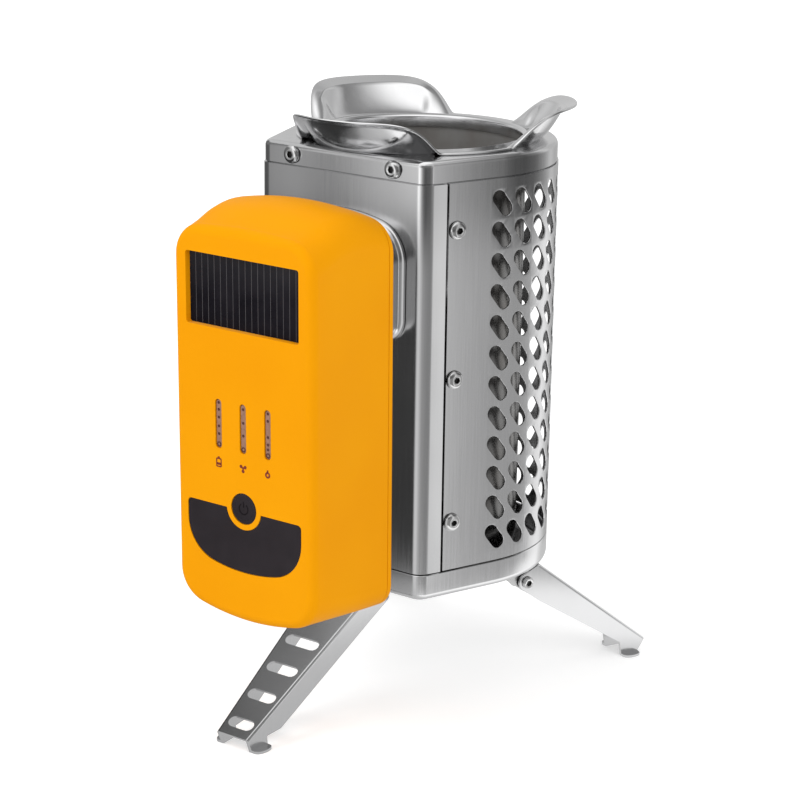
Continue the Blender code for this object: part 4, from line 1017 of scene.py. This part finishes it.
def leg_sheet(form, leg):
    """The folded sheet as surfaces: slotted web, and two flanges with pin hole and half-round pad."""
    origin, along, across, above = leg_frame(leg)
    profile = leg_side_profile(leg)
    root, heel, toe, tip = (profile[k][0] for k in (0, -3, -2, -1))

    def spot(distance, side, up):
        return origin + along * distance + across * side + above * up

    def pad_point(side, turn):
        distance = (heel + toe) / 2 + (toe - heel) / 2 * math.cos(turn)
        edge = leg_half_width(leg, distance) + (leg["foot_width"] + 0.6) * math.sin(turn) ** 0.6
        return spot(distance, side * edge, floor_up(leg, distance))

    corners = ((root, -1), (tip, -1), (tip, 1), (root, 1))
    loops = [[(distance, side * leg_half_width(leg, distance)) for distance, side in corners]]
    for centre in leg["slots"]:
        length = 2 * leg_half_width(leg, centre) * LEG_SLOT_SHARE
        loops.append([(centre + point.x, point.y) for point in obround(length, LEG_SLOT_WIDTH, 0.0, 28)])
    fill_sheet(form, loops, lambda a, b: spot(a, b, leg["web"]))
    hole = circle(PIN_RADIUS + 0.35, 16)
    for side in (-1, 1):
        fill_sheet(form, [profile, hole], lambda a, b, side=side: spot(a, side * leg_half_width(leg, a), b))
        form.faces.new([form.verts.new(pad_point(side, math.pi * step / 12)) for step in range(13)])
    bmesh.ops.remove_doubles(form, verts=form.verts, dist=0.01)
    bmesh.ops.recalc_face_normals(form, faces=form.faces)
    folds = [
        edge for edge in form.edges
        if len(edge.link_faces) == 2 and abs(edge.link_faces[0].normal.dot(edge.link_faces[1].normal)) < 0.3
        and all(abs((vert.co - origin).dot(above) - leg["web"]) < 0.01 for vert in edge.verts)
    ]
    bmesh.ops.bevel(form, geom=folds, offset=FOLD_RADIUS, segments=5, profile=0.5, affect="EDGES")
    web = max(form.faces, key=lambda face: abs(face.normal.dot(above)))
    if web.normal.dot(above) < 0:
        bmesh.ops.reverse_faces(form, faces=form.faces)


def build_leg(name, leg, body, node, material):
    item = make_object(name, form_mesh(lambda form: leg_sheet(form, leg), closed=False))
    add_modifier(item, "SOLIDIFY", thickness=LEG_SHEET * MM, offset=-1.0, use_even_offset=True)
    fold = math.radians(50)
    add_modifier(item, "BEVEL", width=0.3 * MM, segments=2, limit_method="ANGLE", angle_limit=fold)
    apply_modifiers(item)
    dress_piece(item, material, body, node)


def build_pin(name, leg, node, material, dark):
    """Pivot pin with a socketed dome outside each flange."""
    origin, _, across, _ = leg_frame(leg)
    half = leg["root_half"] + 0.35

    def builder(form):
        skin(form, turned([(PIN_RADIUS, -half - 0.2), (PIN_RADIUS, half + 0.2)], 20))
        for side, flip in ((1, 0.0), (-1, math.pi)):
            head = screw_mesh(2.7, 1.5)
            head.transform(Matrix.Translation((0, 0, side * half)) @ Matrix.Rotation(flip, 4, "X"))
            form.from_mesh(head)

    place_screw(name, node, form_mesh(builder), origin, across, material, dark)


# Power pack


def pack_values(depth):
    """Section values at a depth, smoothly blended between the stations."""
    stations = PACK_SECTIONS
    depth = min(max(depth, stations[0][0]), stations[-1][0])
    index = max(i for i in range(len(stations) - 1) if stations[i][0] <= depth)
    before = stations[max(index - 1, 0)]
    near, far = stations[index], stations[index + 1]
    after = stations[min(index + 2, len(stations) - 1)]
    span = far[0] - near[0]
    share = (depth - near[0]) / span
    values = []
    for k in range(1, len(near)):
        rise_near = (far[k] - before[k]) / (far[0] - before[0]) * span
        rise_far = (after[k] - near[k]) / (after[0] - near[0]) * span
        cube, square = share**3, share**2
        values.append(
            (2 * cube - 3 * square + 1) * near[k] + (cube - 2 * square + share) * rise_near
            + (3 * square - 2 * cube) * far[k] + (cube - square) * rise_far
        )
    return values


def pack_section(depth, inset=0.0, top_drop=0.0, crown=0.0):
    top, bottom, half_width, crown_high, corner_low = pack_values(depth)
    outline = crowned_outline(
        half_width - inset, bottom + inset, top - inset - top_drop,
        PACK_LOW_CROWN, crown or crown_high, corner_low - inset, PACK_HIGH_CORNER - inset,
    )
    return [(x, PACK_FRONT_Y + depth, z) for x, z in outline]


def pack_front_sections(wall=0.0):
    """Rings from the seam to the front face, with the rounded front edge. wall moves them inwards."""
    stations = 16
    rounding = 10
    first = PACK_SECTIONS[0][0]
    crown_start = PACK_SECTIONS[0][4]
    radius = PACK_SIDE_ROUND - wall
    depths = [PACK_SEAM_DEPTH - (PACK_SEAM_DEPTH - first) * k / stations for k in range(stations + 1)]
    rings = [pack_section(depth, wall) for depth in depths]
    for step in range(1, rounding + 1):
        angle = math.pi / 2 * step / rounding
        share = 1 - math.cos(angle)
        depth = PACK_SIDE_ROUND - radius * math.sin(angle)
        drop = (PACK_TOP_ROUND - wall) * share - radius * share
        crown = crown_start + (PACK_FACE_CROWN - crown_start) * share
        rings.append(pack_section(depth, wall + radius * share, drop, crown))
    rings.append(pack_section(depth, wall + radius + 0.4, drop, crown))
    return rings


def cover_outline(inset):
    """Half-moon with a round scoop under the button."""
    high = COVER_HIGH - inset
    scoop_radius = COVER_SCOOP + inset
    outline = crowned_outline(
        COVER_HALF_WIDTH - inset, COVER_LOW + inset, high, 75.0 - inset, 0, 17.0 - inset, 1.5 - inset
    )
    count = len(outline)
    top_right = max(range(count), key=lambda k: (outline[k][1] > high - 0.01) * (1 + outline[k][0] / 100))
    start = math.asin((high - BUTTON_Z) / scoop_radius)
    scoop = arc((0, BUTTON_Z), scoop_radius, start, -math.pi - start, 24)
    return outline[: top_right + 1] + scoop + outline[top_right + 1:]


def build_housing(material):
    """Deep moulded cup. Its face has the window recess, pipe slots, button hole and half-moon recess."""
    rim = 2.0
    near = PACK_FRONT_Y - 4
    far = PACK_FRONT_Y + PACK_WALL + 3
    pocket = PACK_FRONT_Y + WINDOW_DEPTH + CELL_THICKNESS + GAP
    recess = PACK_FRONT_Y + COVER_THICKNESS - COVER_PROUD + GAP
    tray_start = PACK_FRONT_Y + PACK_WALL - 0.6
    tray = rounded_outline(WINDOW_HALF_WIDTH + rim, WINDOW_LOW - rim, WINDOW_HIGH + rim, 2.0, 3)
    cover_tray = rounded_outline(COVER_HALF_WIDTH + rim, COVER_LOW - rim, COVER_HIGH + rim, 14.0)
    cuts = [
        cut(tray, tray_start, pocket + PACK_WALL, "UNION"),
        cut(cover_tray, tray_start, recess + PACK_WALL, "UNION"),
        cut(rounded_outline(WINDOW_HALF_WIDTH, WINDOW_LOW, WINDOW_HIGH, 1.2, 5), near, pocket),
        cut(cover_outline(-GAP), near, recess),
    ]
    radius = PIPE_WIDTH / 2 + GAP / 2
    for x in (-PIPE_PITCH, 0.0, PIPE_PITCH):
        slot = rounded_outline(radius, PIPE_LOW - GAP / 2, PIPE_HIGH + GAP / 2, radius - 0.02, x=x)
        cuts.append(cut(slot, near, far))
    hole = [(BUTTON_RADIUS + 0.4, -6), (BUTTON_RADIUS + 0.4, 6)]
    cuts.append(("DIFFERENCE", turned_forwards(hole, 64, (0, PACK_FRONT_Y, BUTTON_Z))))
    cuts.append(cut(rounded_outline(9.0, SOCKET_Z - 5.5, SOCKET_Z + 5.5, 1.0, 3), near, far))
    mesh = ring_mesh(pack_front_sections(PACK_WALL)[::-1] + pack_front_sections())
    pack_piece("pack_shell", mesh, material, "yellow_plastic", "pack_housing", cuts=cuts, sharp=28)


def build_rear_cover(material):
    """Shallow cover with the spigot that plugs into the collar, its air nozzle and the probe's window."""
    seam = PACK_SEAM_DEPTH + GAP
    end = PACK_BACK_Y - PACK_FRONT_Y
    rings = [pack_section(end - PACK_WALL, PACK_WALL), pack_section(seam, PACK_WALL), pack_section(seam)]
    rings += [pack_section(end - drop, inset) for inset, drop in quarter_turn(1.5, 5)]
    mesh = ring_mesh(rings)
    mesh.transform(leaned(PACK_LEAN))
    spigot = SHEET + 1.6
    spigot_end = PACK_BACK_Y + 8.5
    nozzle_z = 124.0
    cuts = [
        cut(collar_outline(spigot), PACK_BACK_Y - 1.0, spigot_end, "UNION"),
        cut(collar_outline(spigot + 2.0), PACK_BACK_Y - 6.0, spigot_end - 2.0),
    ]
    for half_width, height, half_height in ((21.0, PROBE_Z, 11.0), (19.0, nozzle_z, 4.5)):
        opening = rounded_outline(half_width, height - half_height, height + half_height, 3.0)
        cuts.append(cut(opening, PACK_BACK_Y + 4, spigot_end + 3))
    for vent_z in (40.0, 49.0, 58.0, 67.0, 76.0):
        vent = rounded_outline(18.0, vent_z, vent_z + 3.5, 1.7)
        cuts.append(cut(vent, PACK_BACK_Y - 5, PACK_BACK_Y + 4))
    finish_piece("pack_back", mesh, material, "power_pack", "yellow_plastic", "pack_rear_cover", cuts=cuts)


def soft_plate(outline_at, near, far, edge, steps=4):
    """A plate in the XZ plane whose front edge is rounded. outline_at gives the outline at an inset."""
    front = [at_depth(outline_at(inset), near + drop) for inset, drop in quarter_turn(edge, steps)]
    return ring_mesh([at_depth(outline_at(0.0), far)] + front)


def build_cell(material):
    near = PACK_FRONT_Y + WINDOW_DEPTH

    def outline(inset):
        grow = GAP * 0.3 + inset
        return rounded_outline(WINDOW_HALF_WIDTH - grow, WINDOW_LOW + grow, WINDOW_HIGH - grow, 1.0)

    plate = soft_plate(outline, near, near + CELL_THICKNESS, 0.15, 2)
    pack_piece("cell_plate", plate, material, "solar_glass", "solar_cell")


def bead(form, centre, radius, hole=0.0, front=PACK_FRONT_Y):
    """A thin disc or ring lying on the face at depth front."""
    near = front - SIGN_PROUD
    far = front + SIGN_SUNK
    rings = [at_depth(circle(radius, 20, centre), y) for y in (far, near)]
    if hole:
        rings += [at_depth(circle(hole, 20, centre), y) for y in (near, far)]
    skin(form, rings, loop=hole > 0)


def flat_bar(form, start, end, width, front=PACK_FRONT_Y):
    """A thin straight bar on the face from one (x, z) point to another."""
    start, end = Vector(start), Vector(end)
    run = end - start
    side = Vector((-run.y, run.x)).normalized() * width / 2
    corners = [start - side, end - side, end + side, start + side]
    skin(form, [at_depth(corners, y) for y in (front + SIGN_SUNK, front - SIGN_PROUD)])


def build_pipe(word, x, dots, material, ink):
    """A clear light column with a row of dark dots and a ring at its foot."""
    play = 0.1
    front = PACK_FRONT_Y + PIPE_RECESS

    def outline(inset):
        radius = PIPE_WIDTH / 2 - play - inset
        return rounded_outline(radius, PIPE_LOW + play + inset, PIPE_HIGH - play - inset, radius - 0.02, x=x)

    def marks(form):
        for share in dots:
            bead(form, (x, PIPE_LOW + (PIPE_HIGH - PIPE_LOW) * share), 0.62, front=front)
        bead(form, (x, PIPE_LOW + 1.6), 1.1, 0.6, front)

    column = soft_plate(outline, front, PACK_FRONT_Y + 4.5, 0.5)
    pack_piece(f"pipe_{word}", column, material, "light_pipe", f"light_pipe_{word}")
    pack_piece(f"pipe_marks_{word}", form_mesh(marks), ink, "light_pipe")


def build_icons(material):
    """Small printed signs under the light columns: a battery, a fan and a flame drop."""

    def battery(form):
        x, z, half, tall = -PIPE_PITCH, ICON_Z, 1.2, 3.4
        for side in (-1, 1):
            flat_bar(form, (x + side * half, z - tall / 2), (x + side * half, z + tall / 2), 0.55)
        for end in (-1, 1):
            flat_bar(form, (x - half, z + end * tall / 2), (x + half, z + end * tall / 2), 0.55)
        flat_bar(form, (x, z + tall / 2 + 0.2), (x, z + tall / 2 + 0.9), 1.1)
        flat_bar(form, (x - half, z - 0.5), (x + half, z - 0.5), 1.0)

    def fan_sign(form):
        bead(form, (0.0, ICON_Z), 0.55)
        for k in range(3):
            turn = 2 * math.pi * k / 3 + 0.5
            bead(form, (1.25 * math.cos(turn), ICON_Z + 1.25 * math.sin(turn)), 0.75)

    def drop(form):
        x, z = PIPE_PITCH, ICON_Z - 0.3
        bead(form, (x, z), 1.35, 0.55)
        flat_bar(form, (x, z + 1.1), (x, z + 2.1), 0.8)

    for name, builder in (("sign_battery", battery), ("sign_fan", fan_sign), ("sign_flame", drop)):
        pack_piece(name, form_mesh(builder), material, "light_pipe")


def build_button(material, ink):
    """Round button with a soft edge and a shallow dish; its sign is a ring with a gap and a bar."""
    profile = [(BUTTON_RADIUS, -3.5)]
    profile += [(BUTTON_RADIUS - inset, 0.1 - drop) for inset, drop in quarter_turn(0.5, 4)]
    dish = ((1.1, 0.1), (1.3, -0.06), (1.6, -0.06), (1.8, 0.06), (3.5, 0.0))
    profile += [(BUTTON_RADIUS - inset, height) for inset, height in dish] + [(0.6, -0.02)]
    mesh = turned_forwards(profile, 64, (0, PACK_FRONT_Y, BUTTON_Z))
    pack_piece("button_cap", mesh, material, "charcoal_rubber", "power_button", "button")

    def sign(form):
        front = PACK_FRONT_Y - 0.02
        radius, width, steps = 2.3, 0.5, 28
        outer, inner = (
            arc((0, BUTTON_Z), radius + side * width / 2, math.radians(125), math.radians(415), steps)
            for side in (1, -1)
        )
        for k in range(steps):
            quad = (outer[k], outer[k + 1], inner[k + 1], inner[k])
            skin(form, [at_depth(quad, y) for y in (front + SIGN_SUNK, front - SIGN_PROUD)])
        bmesh.ops.remove_doubles(form, verts=form.verts, dist=1e-4)
        flat_bar(form, (0, BUTTON_Z + 0.6), (0, BUTTON_Z + 3.2), width, front)

    pack_piece("button_sign", form_mesh(sign), ink, "charcoal_rubber", body="button")


def build_cover(material):
    """Half-moon flap with a softened front edge."""
    near = PACK_FRONT_Y - COVER_PROUD
    flap = soft_plate(cover_outline, near, near + COVER_THICKNESS, 0.45)
    pack_piece("cover_flap", flap, material, "charcoal_rubber", "port_cover", "cover")


# Stage


class Glow(Nodes):
    """A material whose brightness is built from the place on the panel, in millimetres."""

    def __init__(self, name):
        self.material = bpy.data.materials.new(name)
        self.material.use_nodes = True
        super().__init__(self.material.node_tree)
        self.tree.nodes.clear()
        split = self.node("ShaderNodeSeparateXYZ", self.node("ShaderNodeNewGeometry").outputs["Position"])
        self.x, self.y, self.z = (
            self.math("SUBTRACT", self.math("DIVIDE", socket, MM), offset)
            for socket, offset in zip(split.outputs, SHIFT)
        )

    def ramp(self, value, low, high, stops):
        """Brightness that runs through (place, brightness) stops between low and high."""
        share = self.node("ShaderNodeMapRange", Value=value, From_Min=low, From_Max=high)
        made = self.node("ShaderNodeValToRGB", share.outputs[0])
        elements = made.color_ramp.elements
        elements.remove(elements[1])
        for number, (place, brightness) in enumerate(stops):
            position = (place - low) / (high - low)
            element = elements.new(position) if number else elements[0]
            element.position = position
            element.color = (brightness,) * 3 + (1,)
        return made.outputs[0]

    def blend(self, share, first, second):
        """first where share is 0, second where it is 1."""
        rest = self.math("SUBTRACT", 1.0, share)
        return self.math("ADD", self.math("MULTIPLY", first, rest), self.math("MULTIPLY", second, share))

    def emit(self, brightness):
        return self.node("ShaderNodeEmission", Strength=brightness).outputs[0]

    def finish(self, shader):
        self.node("ShaderNodeOutputMaterial", shader)
        return self.material


def build_floor():
    """Pale floor that looks white to the camera, keeps the object's shadow and is toned in reflections."""
    size = 6.0
    top = (FLOOR_Z + SHIFT.z) * MM
    corners = ((-size, -size), (size, -size), (size, size), (-size, size))
    mesh = ring_mesh([at_height(corners, height) for height in (top - 0.02, top)])
    floor = bpy.data.objects.new("floor", mesh)
    bpy.context.scene.collection.objects.link(floor)
    look = Glow("floor_paper")
    rays = look.node("ShaderNodeLightPath").outputs
    paper = look.node("ShaderNodeBsdfDiffuse", Color=(0.9, 0.9, 0.9)).outputs[0]
    square = look.math("ADD", look.math("MULTIPLY", look.x, look.x), look.math("MULTIPLY", look.y, look.y))
    seen = look.ramp(look.math("SQRT", square), 0.0, 1500.0, FLOOR_SEEN)
    fill = look.emit(look.math("MULTIPLY", seen, rays["Is Camera Ray"]))
    toned = look.emit(look.ramp(look.x, *STAGE_SPAN, FLOOR_ACROSS))
    lit = look.node("ShaderNodeAddShader", paper, fill).outputs[0]
    choice = look.node("ShaderNodeMixShader", rays["Is Glossy Ray"], lit, toned).outputs[0]
    mesh.materials.append(look.finish(choice))


def place_panel(name, builder, material):
    """Adds a light panel that is left out of everything but reflections."""
    item = make_object(name, form_mesh(builder, closed=False))
    item.data.materials.append(material)
    item.visible_camera = False
    item.visible_diffuse = False
    item.visible_transmission = False
    item.visible_shadow = False


def build_tent():
    """A ring of light and dark panels with a ceiling, seen only in reflections, for the steel's bands."""

    def ring(height):
        return [(y, -x, height) for x, y in circle(TENT_RADIUS, 96)]

    def wall(form):
        skin(form, [ring(FLOOR_Z + 0.3), ring(TENT_TOP)], caps=False)

    def ceiling(form):
        form.faces.new([form.verts.new(point) for point in ring(TENT_TOP)])

    look = Glow("tent_panels")
    turn = look.math("ARCTAN2", look.x, look.math("MULTIPLY", look.y, -1.0))
    degrees = look.math("MULTIPLY", turn, 180 / math.pi)
    low, middle, high = (
        look.ramp(degrees, -180.0, 180.0, stops) for stops in (TENT_LOW, TENT_MIDDLE, TENT_HIGH)
    )
    first, second = (
        look.ramp(look.z, -60.0, 300.0, ((start, 0.0), (end, 1.0)))
        for start, end in TENT_BLENDS
    )
    brightness = look.blend(second, look.blend(first, low, middle), high)
    place_panel("tent_wall", wall, look.finish(look.emit(brightness)))

    look = Glow("tent_ceiling")
    across, along, side = (
        look.ramp(value, *STAGE_SPAN, stops)
        for value, stops in ((look.x, CEILING_ACROSS), (look.y, CEILING_ALONG), (look.x, CEILING_SIDE))
    )
    brightness = look.math("ADD", look.math("MULTIPLY", across, along), side)
    place_panel("tent_ceiling", ceiling, look.finish(look.emit(brightness)))


def build_world():
    """White to the camera and in reflections, a little softer as fill light."""
    world = bpy.data.worlds.new("studio")
    bpy.context.scene.world = world
    world.use_nodes = True
    sky = Nodes(world.node_tree)
    rays = sky.node("ShaderNodeLightPath").outputs
    camera = sky.math("MAXIMUM", rays["Is Camera Ray"], rays["Is Transmission Ray"])
    plain = sky.node("ShaderNodeMapRange", Value=camera, To_Min=FILL, To_Max=1.0).outputs[0]
    glossy = sky.node("ShaderNodeMapRange", Value=rays["Is Glossy Ray"], To_Min=plain, To_Max=SKY_GLOSS)
    sky.fill(sky.tree.nodes["Background"], Color=(1, 1, 1), Strength=glossy.outputs[0])


def build_lamp(name, place, size, power):
    lamp = bpy.data.lights.new(name, "AREA")
    lamp.shape = "RECTANGLE"
    lamp.size, lamp.size_y = size
    lamp.energy = power
    item = bpy.data.objects.new(name, lamp)
    item.location = place
    item.rotation_euler = (Vector((0, 0, 0.12)) - item.location).to_track_quat("-Z", "Y").to_euler()
    item.visible_glossy = False
    bpy.context.scene.collection.objects.link(item)


# Camera solved from the photograph: place in the shapes' own frame, view direction, focal length in pixels
CAMERA_PLACE = (598.12, -820.53, 365.47)
CAMERA_AZIMUTH = 36.09
CAMERA_ELEVATION = 16.26
CAMERA_ROLL = 0.89
FOCAL_PIXELS = 2367.08
CENTRE_PIXELS = (414.1, 401.83)
PICTURE_PIXELS = 800


def build_camera():
    data = bpy.data.cameras.new("camera")
    camera = bpy.data.objects.new("camera", data)
    bpy.context.scene.collection.objects.link(camera)
    azimuth, elevation, roll = (math.radians(v) for v in (CAMERA_AZIMUTH, CAMERA_ELEVATION, CAMERA_ROLL))
    level = math.cos(elevation)
    look = Vector((-math.sin(azimuth) * level, math.cos(azimuth) * level, -math.sin(elevation)))
    side = look.cross(Vector((0, 0, 1))).normalized()
    upright = side.cross(look)
    right = side * math.cos(roll) + upright * math.sin(roll)
    up = upright * math.cos(roll) - side * math.sin(roll)
    pose = Matrix((right, up, -look)).transposed().to_4x4()
    pose.translation = (Vector(CAMERA_PLACE) + SHIFT) * MM
    camera.matrix_world = pose
    data.sensor_width = 36
    data.lens = FOCAL_PIXELS / PICTURE_PIXELS * data.sensor_width
    half = PICTURE_PIXELS / 2
    data.shift_x = (half - CENTRE_PIXELS[0]) / PICTURE_PIXELS
    data.shift_y = (CENTRE_PIXELS[1] - half) / PICTURE_PIXELS
    data.clip_start = 0.01
    bpy.context.scene.camera = camera


# Light levels, the tent's size and the heights between which its bands blend
FILL = 0.66
SKY_GLOSS = 0.8
TENT_RADIUS = 205.0
TENT_TOP = 300.0
TENT_BLENDS = ((112.0, 140.0), (160.0, 205.0))
STAGE_SPAN = (-200.0, 200.0)

# Brightness of the tent by degrees from the front to the right, in three bands of height
TENT_LOW = (
    (-180, 0.5), (-150, 0.35), (-128, 0.25), (-108, 0.3), (-96, 0.08), (-60, 0.04), (-34, 0.05),
    (-14, 0.05), (-8, 0.12), (0, 0.7), (8, 0.85), (18, 0.68), (30, 0.42), (45, 0.34), (60, 0.3),
    (74, 0.3), (79, 0.7), (82, 1.05), (85, 0.9), (88, 0.65), (92, 0.5), (97, 0.44), (108, 0.45),
    (118, 0.42), (130, 0.55), (142, 1.05), (152, 1.2), (162, 0.8), (172, 0.45),
)
TENT_MIDDLE = (
    (-180, 0.5), (-150, 0.4), (-120, 0.4), (-100, 0.4), (-80, 0.1), (-50, 0.12), (-42, 0.26),
    (-36, 0.46), (-30, 0.28), (-27, 0.38), (-23, 0.75), (-20, 0.65), (-17, 0.85), (-10, 1.2), (-4, 1.6),
    (4, 1.2), (12, 0.6), (22, 0.2), (32, 0.1), (60, 0.14), (75, 0.3), (80, 0.75), (83, 0.85),
    (87, 0.55), (92, 0.32), (97, 0.17), (108, 0.1), (120, 0.09), (132, 0.15), (145, 0.35), (158, 0.7),
    (170, 0.5),
)
TENT_HIGH = (
    (-180, 0.65), (-165, 0.65), (-150, 0.68), (-125, 0.62), (-106, 0.8), (-96, 0.6), (-84, 0.12),
    (-60, 0.25), (-45, 0.16), (-37, 0.32), (-33, 0.64), (-27, 0.62), (-21, 0.62), (-17, 1.2),
    (-8, 1.25), (0, 0.8), (12, 0.2), (60, 0.2), (78, 0.5), (84, 0.7), (90, 0.45), (94, 0.28),
    (104, 0.14), (120, 0.1), (135, 0.3), (148, 0.8), (158, 0.6), (170, 0.6),
)

# Brightness of the ceiling and the floor by millimetres across, along or from the middle
CEILING_ACROSS = ((-140, 0.15), (-95, 0.2), (-55, 1.05), (60, 1.0), (100, 0.5), (150, 0.5))
CEILING_ALONG = (
    (-150, 1.2), (-10, 1.4), (10, 1.2), (25, 0.95), (45, 0.55), (65, 0.34), (100, 0.24), (118, 0.55),
    (140, 0.7), (180, 0.55),
)
CEILING_SIDE = ((-140, 0.5), (-85, 0.45), (-60, 0.02), (150, 0.02))
FLOOR_SEEN = ((0, 0.43), (250, 0.43), (600, 0.48), (1400, 0.6))
FLOOR_ACROSS = (
    (-160, 0.07), (-95, 0.22), (-60, 0.48), (-30, 0.55), (20, 0.66), (60, 0.72), (80, 0.9), (100, 1.3),
    (160, 1.4), (180, 0.6), (200, 0.5),
)


def dress_nodes():
    """Materials for the frame's own nodes that stay in view."""
    dull = plain_plastic("fan_plastic", (0.03, 0.028, 0.03), 0.5)
    bracket = brushed_steel("bracket_steel", (0.6, 0.6, 0.6), 0.28)
    looks = {
        "chamber_floor": scorched_steel("floor_plate_steel", (0.42, 0.4, 0.38), 0.4),
        "usb_socket": polished_steel("socket_steel", (0.7, 0.7, 0.72), 0.2),
        "circuit_board": circuit_green("board_mask"),
        "battery_cell": plain_plastic("battery_wrap", (0.03, 0.15, 0.4), 0.35, 90.0),
        "fan_frame": dull,
        "fan_rotor": dull,
        "thermoelectric_tile": plain_plastic("ceramic", (0.8, 0.8, 0.78), 0.5),
        "heat_sink": brushed_steel("sink_aluminium", (0.75, 0.75, 0.77), 0.35),
        "heat_probe": brushed_steel("probe_copper", (0.72, 0.4, 0.26), 0.3),
        "leg_bracket_front": bracket,
        "leg_bracket_rear_right": bracket,
        "leg_bracket_rear_left": bracket,
    }
    for node, material in looks.items():
        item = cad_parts[node]
        if not item.material_slots:
            item.data.materials.append(material)
        for slot in item.material_slots:
            slot.material = material
        item.visible_glossy = node.startswith(("chamber", "leg"))


def build_stove():
    sheet = brushed_steel("shell_steel", (0.66, 0.66, 0.665), 0.17)
    guard = brushed_steel("guard_steel", (0.66, 0.66, 0.665), 0.2)
    cap = brushed_steel("cap_steel", (0.68, 0.68, 0.685), 0.16)
    polished = polished_steel("petal_steel", (0.7, 0.7, 0.705), 0.14)
    inside = scorched_steel("chamber_steel", (0.42, 0.417, 0.413), 0.36, 0.6)
    # Darker copy of the chamber steel for its outer faces: painted shade where the guard keeps the light off.
    outside = scorched_steel("chamber_outside_painted_shade", (0.25, 0.247, 0.243), 0.2)
    screw = polished_steel("screw_steel", (0.66, 0.66, 0.66), 0.14)
    # Near-black material for the faces inside screw and pin sockets: painted shade in the recess.
    dark = plain_plastic("socket_painted_shade", (0.02, 0.02, 0.02), 0.4, 900.0, 0.3, metal=0.3)
    steel = brushed_steel("leg_steel", (0.65, 0.65, 0.655), 0.2, (1.0, 1.0, 0.05), 0.02, 0.02)
    build_pan(cap)
    build_shell(sheet)
    build_guard(guard)
    build_cap(cap)
    build_pot_support(polished)
    build_chamber(inside, outside)
    build_collar(polished)
    build_screws(screw, dark)
    for word, leg in (("front", FRONT_LEG), ("rear_right", REAR_LEG), ("rear_left", mirrored(REAR_LEG))):
        build_leg(f"channel_{word}", leg, f"{word}_leg", f"leg_{word}", steel)
        build_pin(f"pin_{word}", leg, f"leg_pin_{word}", screw, dark)


def build_pack():
    yellow = yellow_plastic("pack_yellow")
    rubber = charcoal_rubber("cover_rubber")
    pipe = plain_plastic("pipe_smoke", (0.36, 0.20, 0.145), 0.3, 500.0)
    dot = plain_plastic("pipe_dot", (0.10, 0.035, 0.03), 0.5)
    build_housing(yellow)
    build_rear_cover(yellow)
    build_cell(solar_glass("cell_glass"))
    build_pipe("left", -PIPE_PITCH, (0.93, 0.79, 0.63, 0.45, 0.29), pipe, dot)
    build_pipe("middle", 0.0, (0.9, 0.62, 0.36), pipe, dot)
    build_pipe("right", PIPE_PITCH, (0.93, 0.78, 0.45, 0.3, 0.2), pipe, dot)
    build_icons(plain_plastic("sign_ink", (0.25, 0.03, 0.01), 0.6))
    build_button(rubber, charcoal_rubber("button_ink", (0.012, 0.009, 0.011), 0.5))
    build_cover(rubber)


scene = bpy.context.scene
scene.view_settings.view_transform = "Standard"
build_camera()
build_floor()
build_tent()
build_world()
build_lamp("key_light", (-0.9, -1.3, 1.5), (1.1, 1.1), 16.0)
build_lamp("side_light", (1.5, -0.5, 1.1), (0.8, 1.0), 7.0)
build_stove()
build_pack()
dress_nodes()
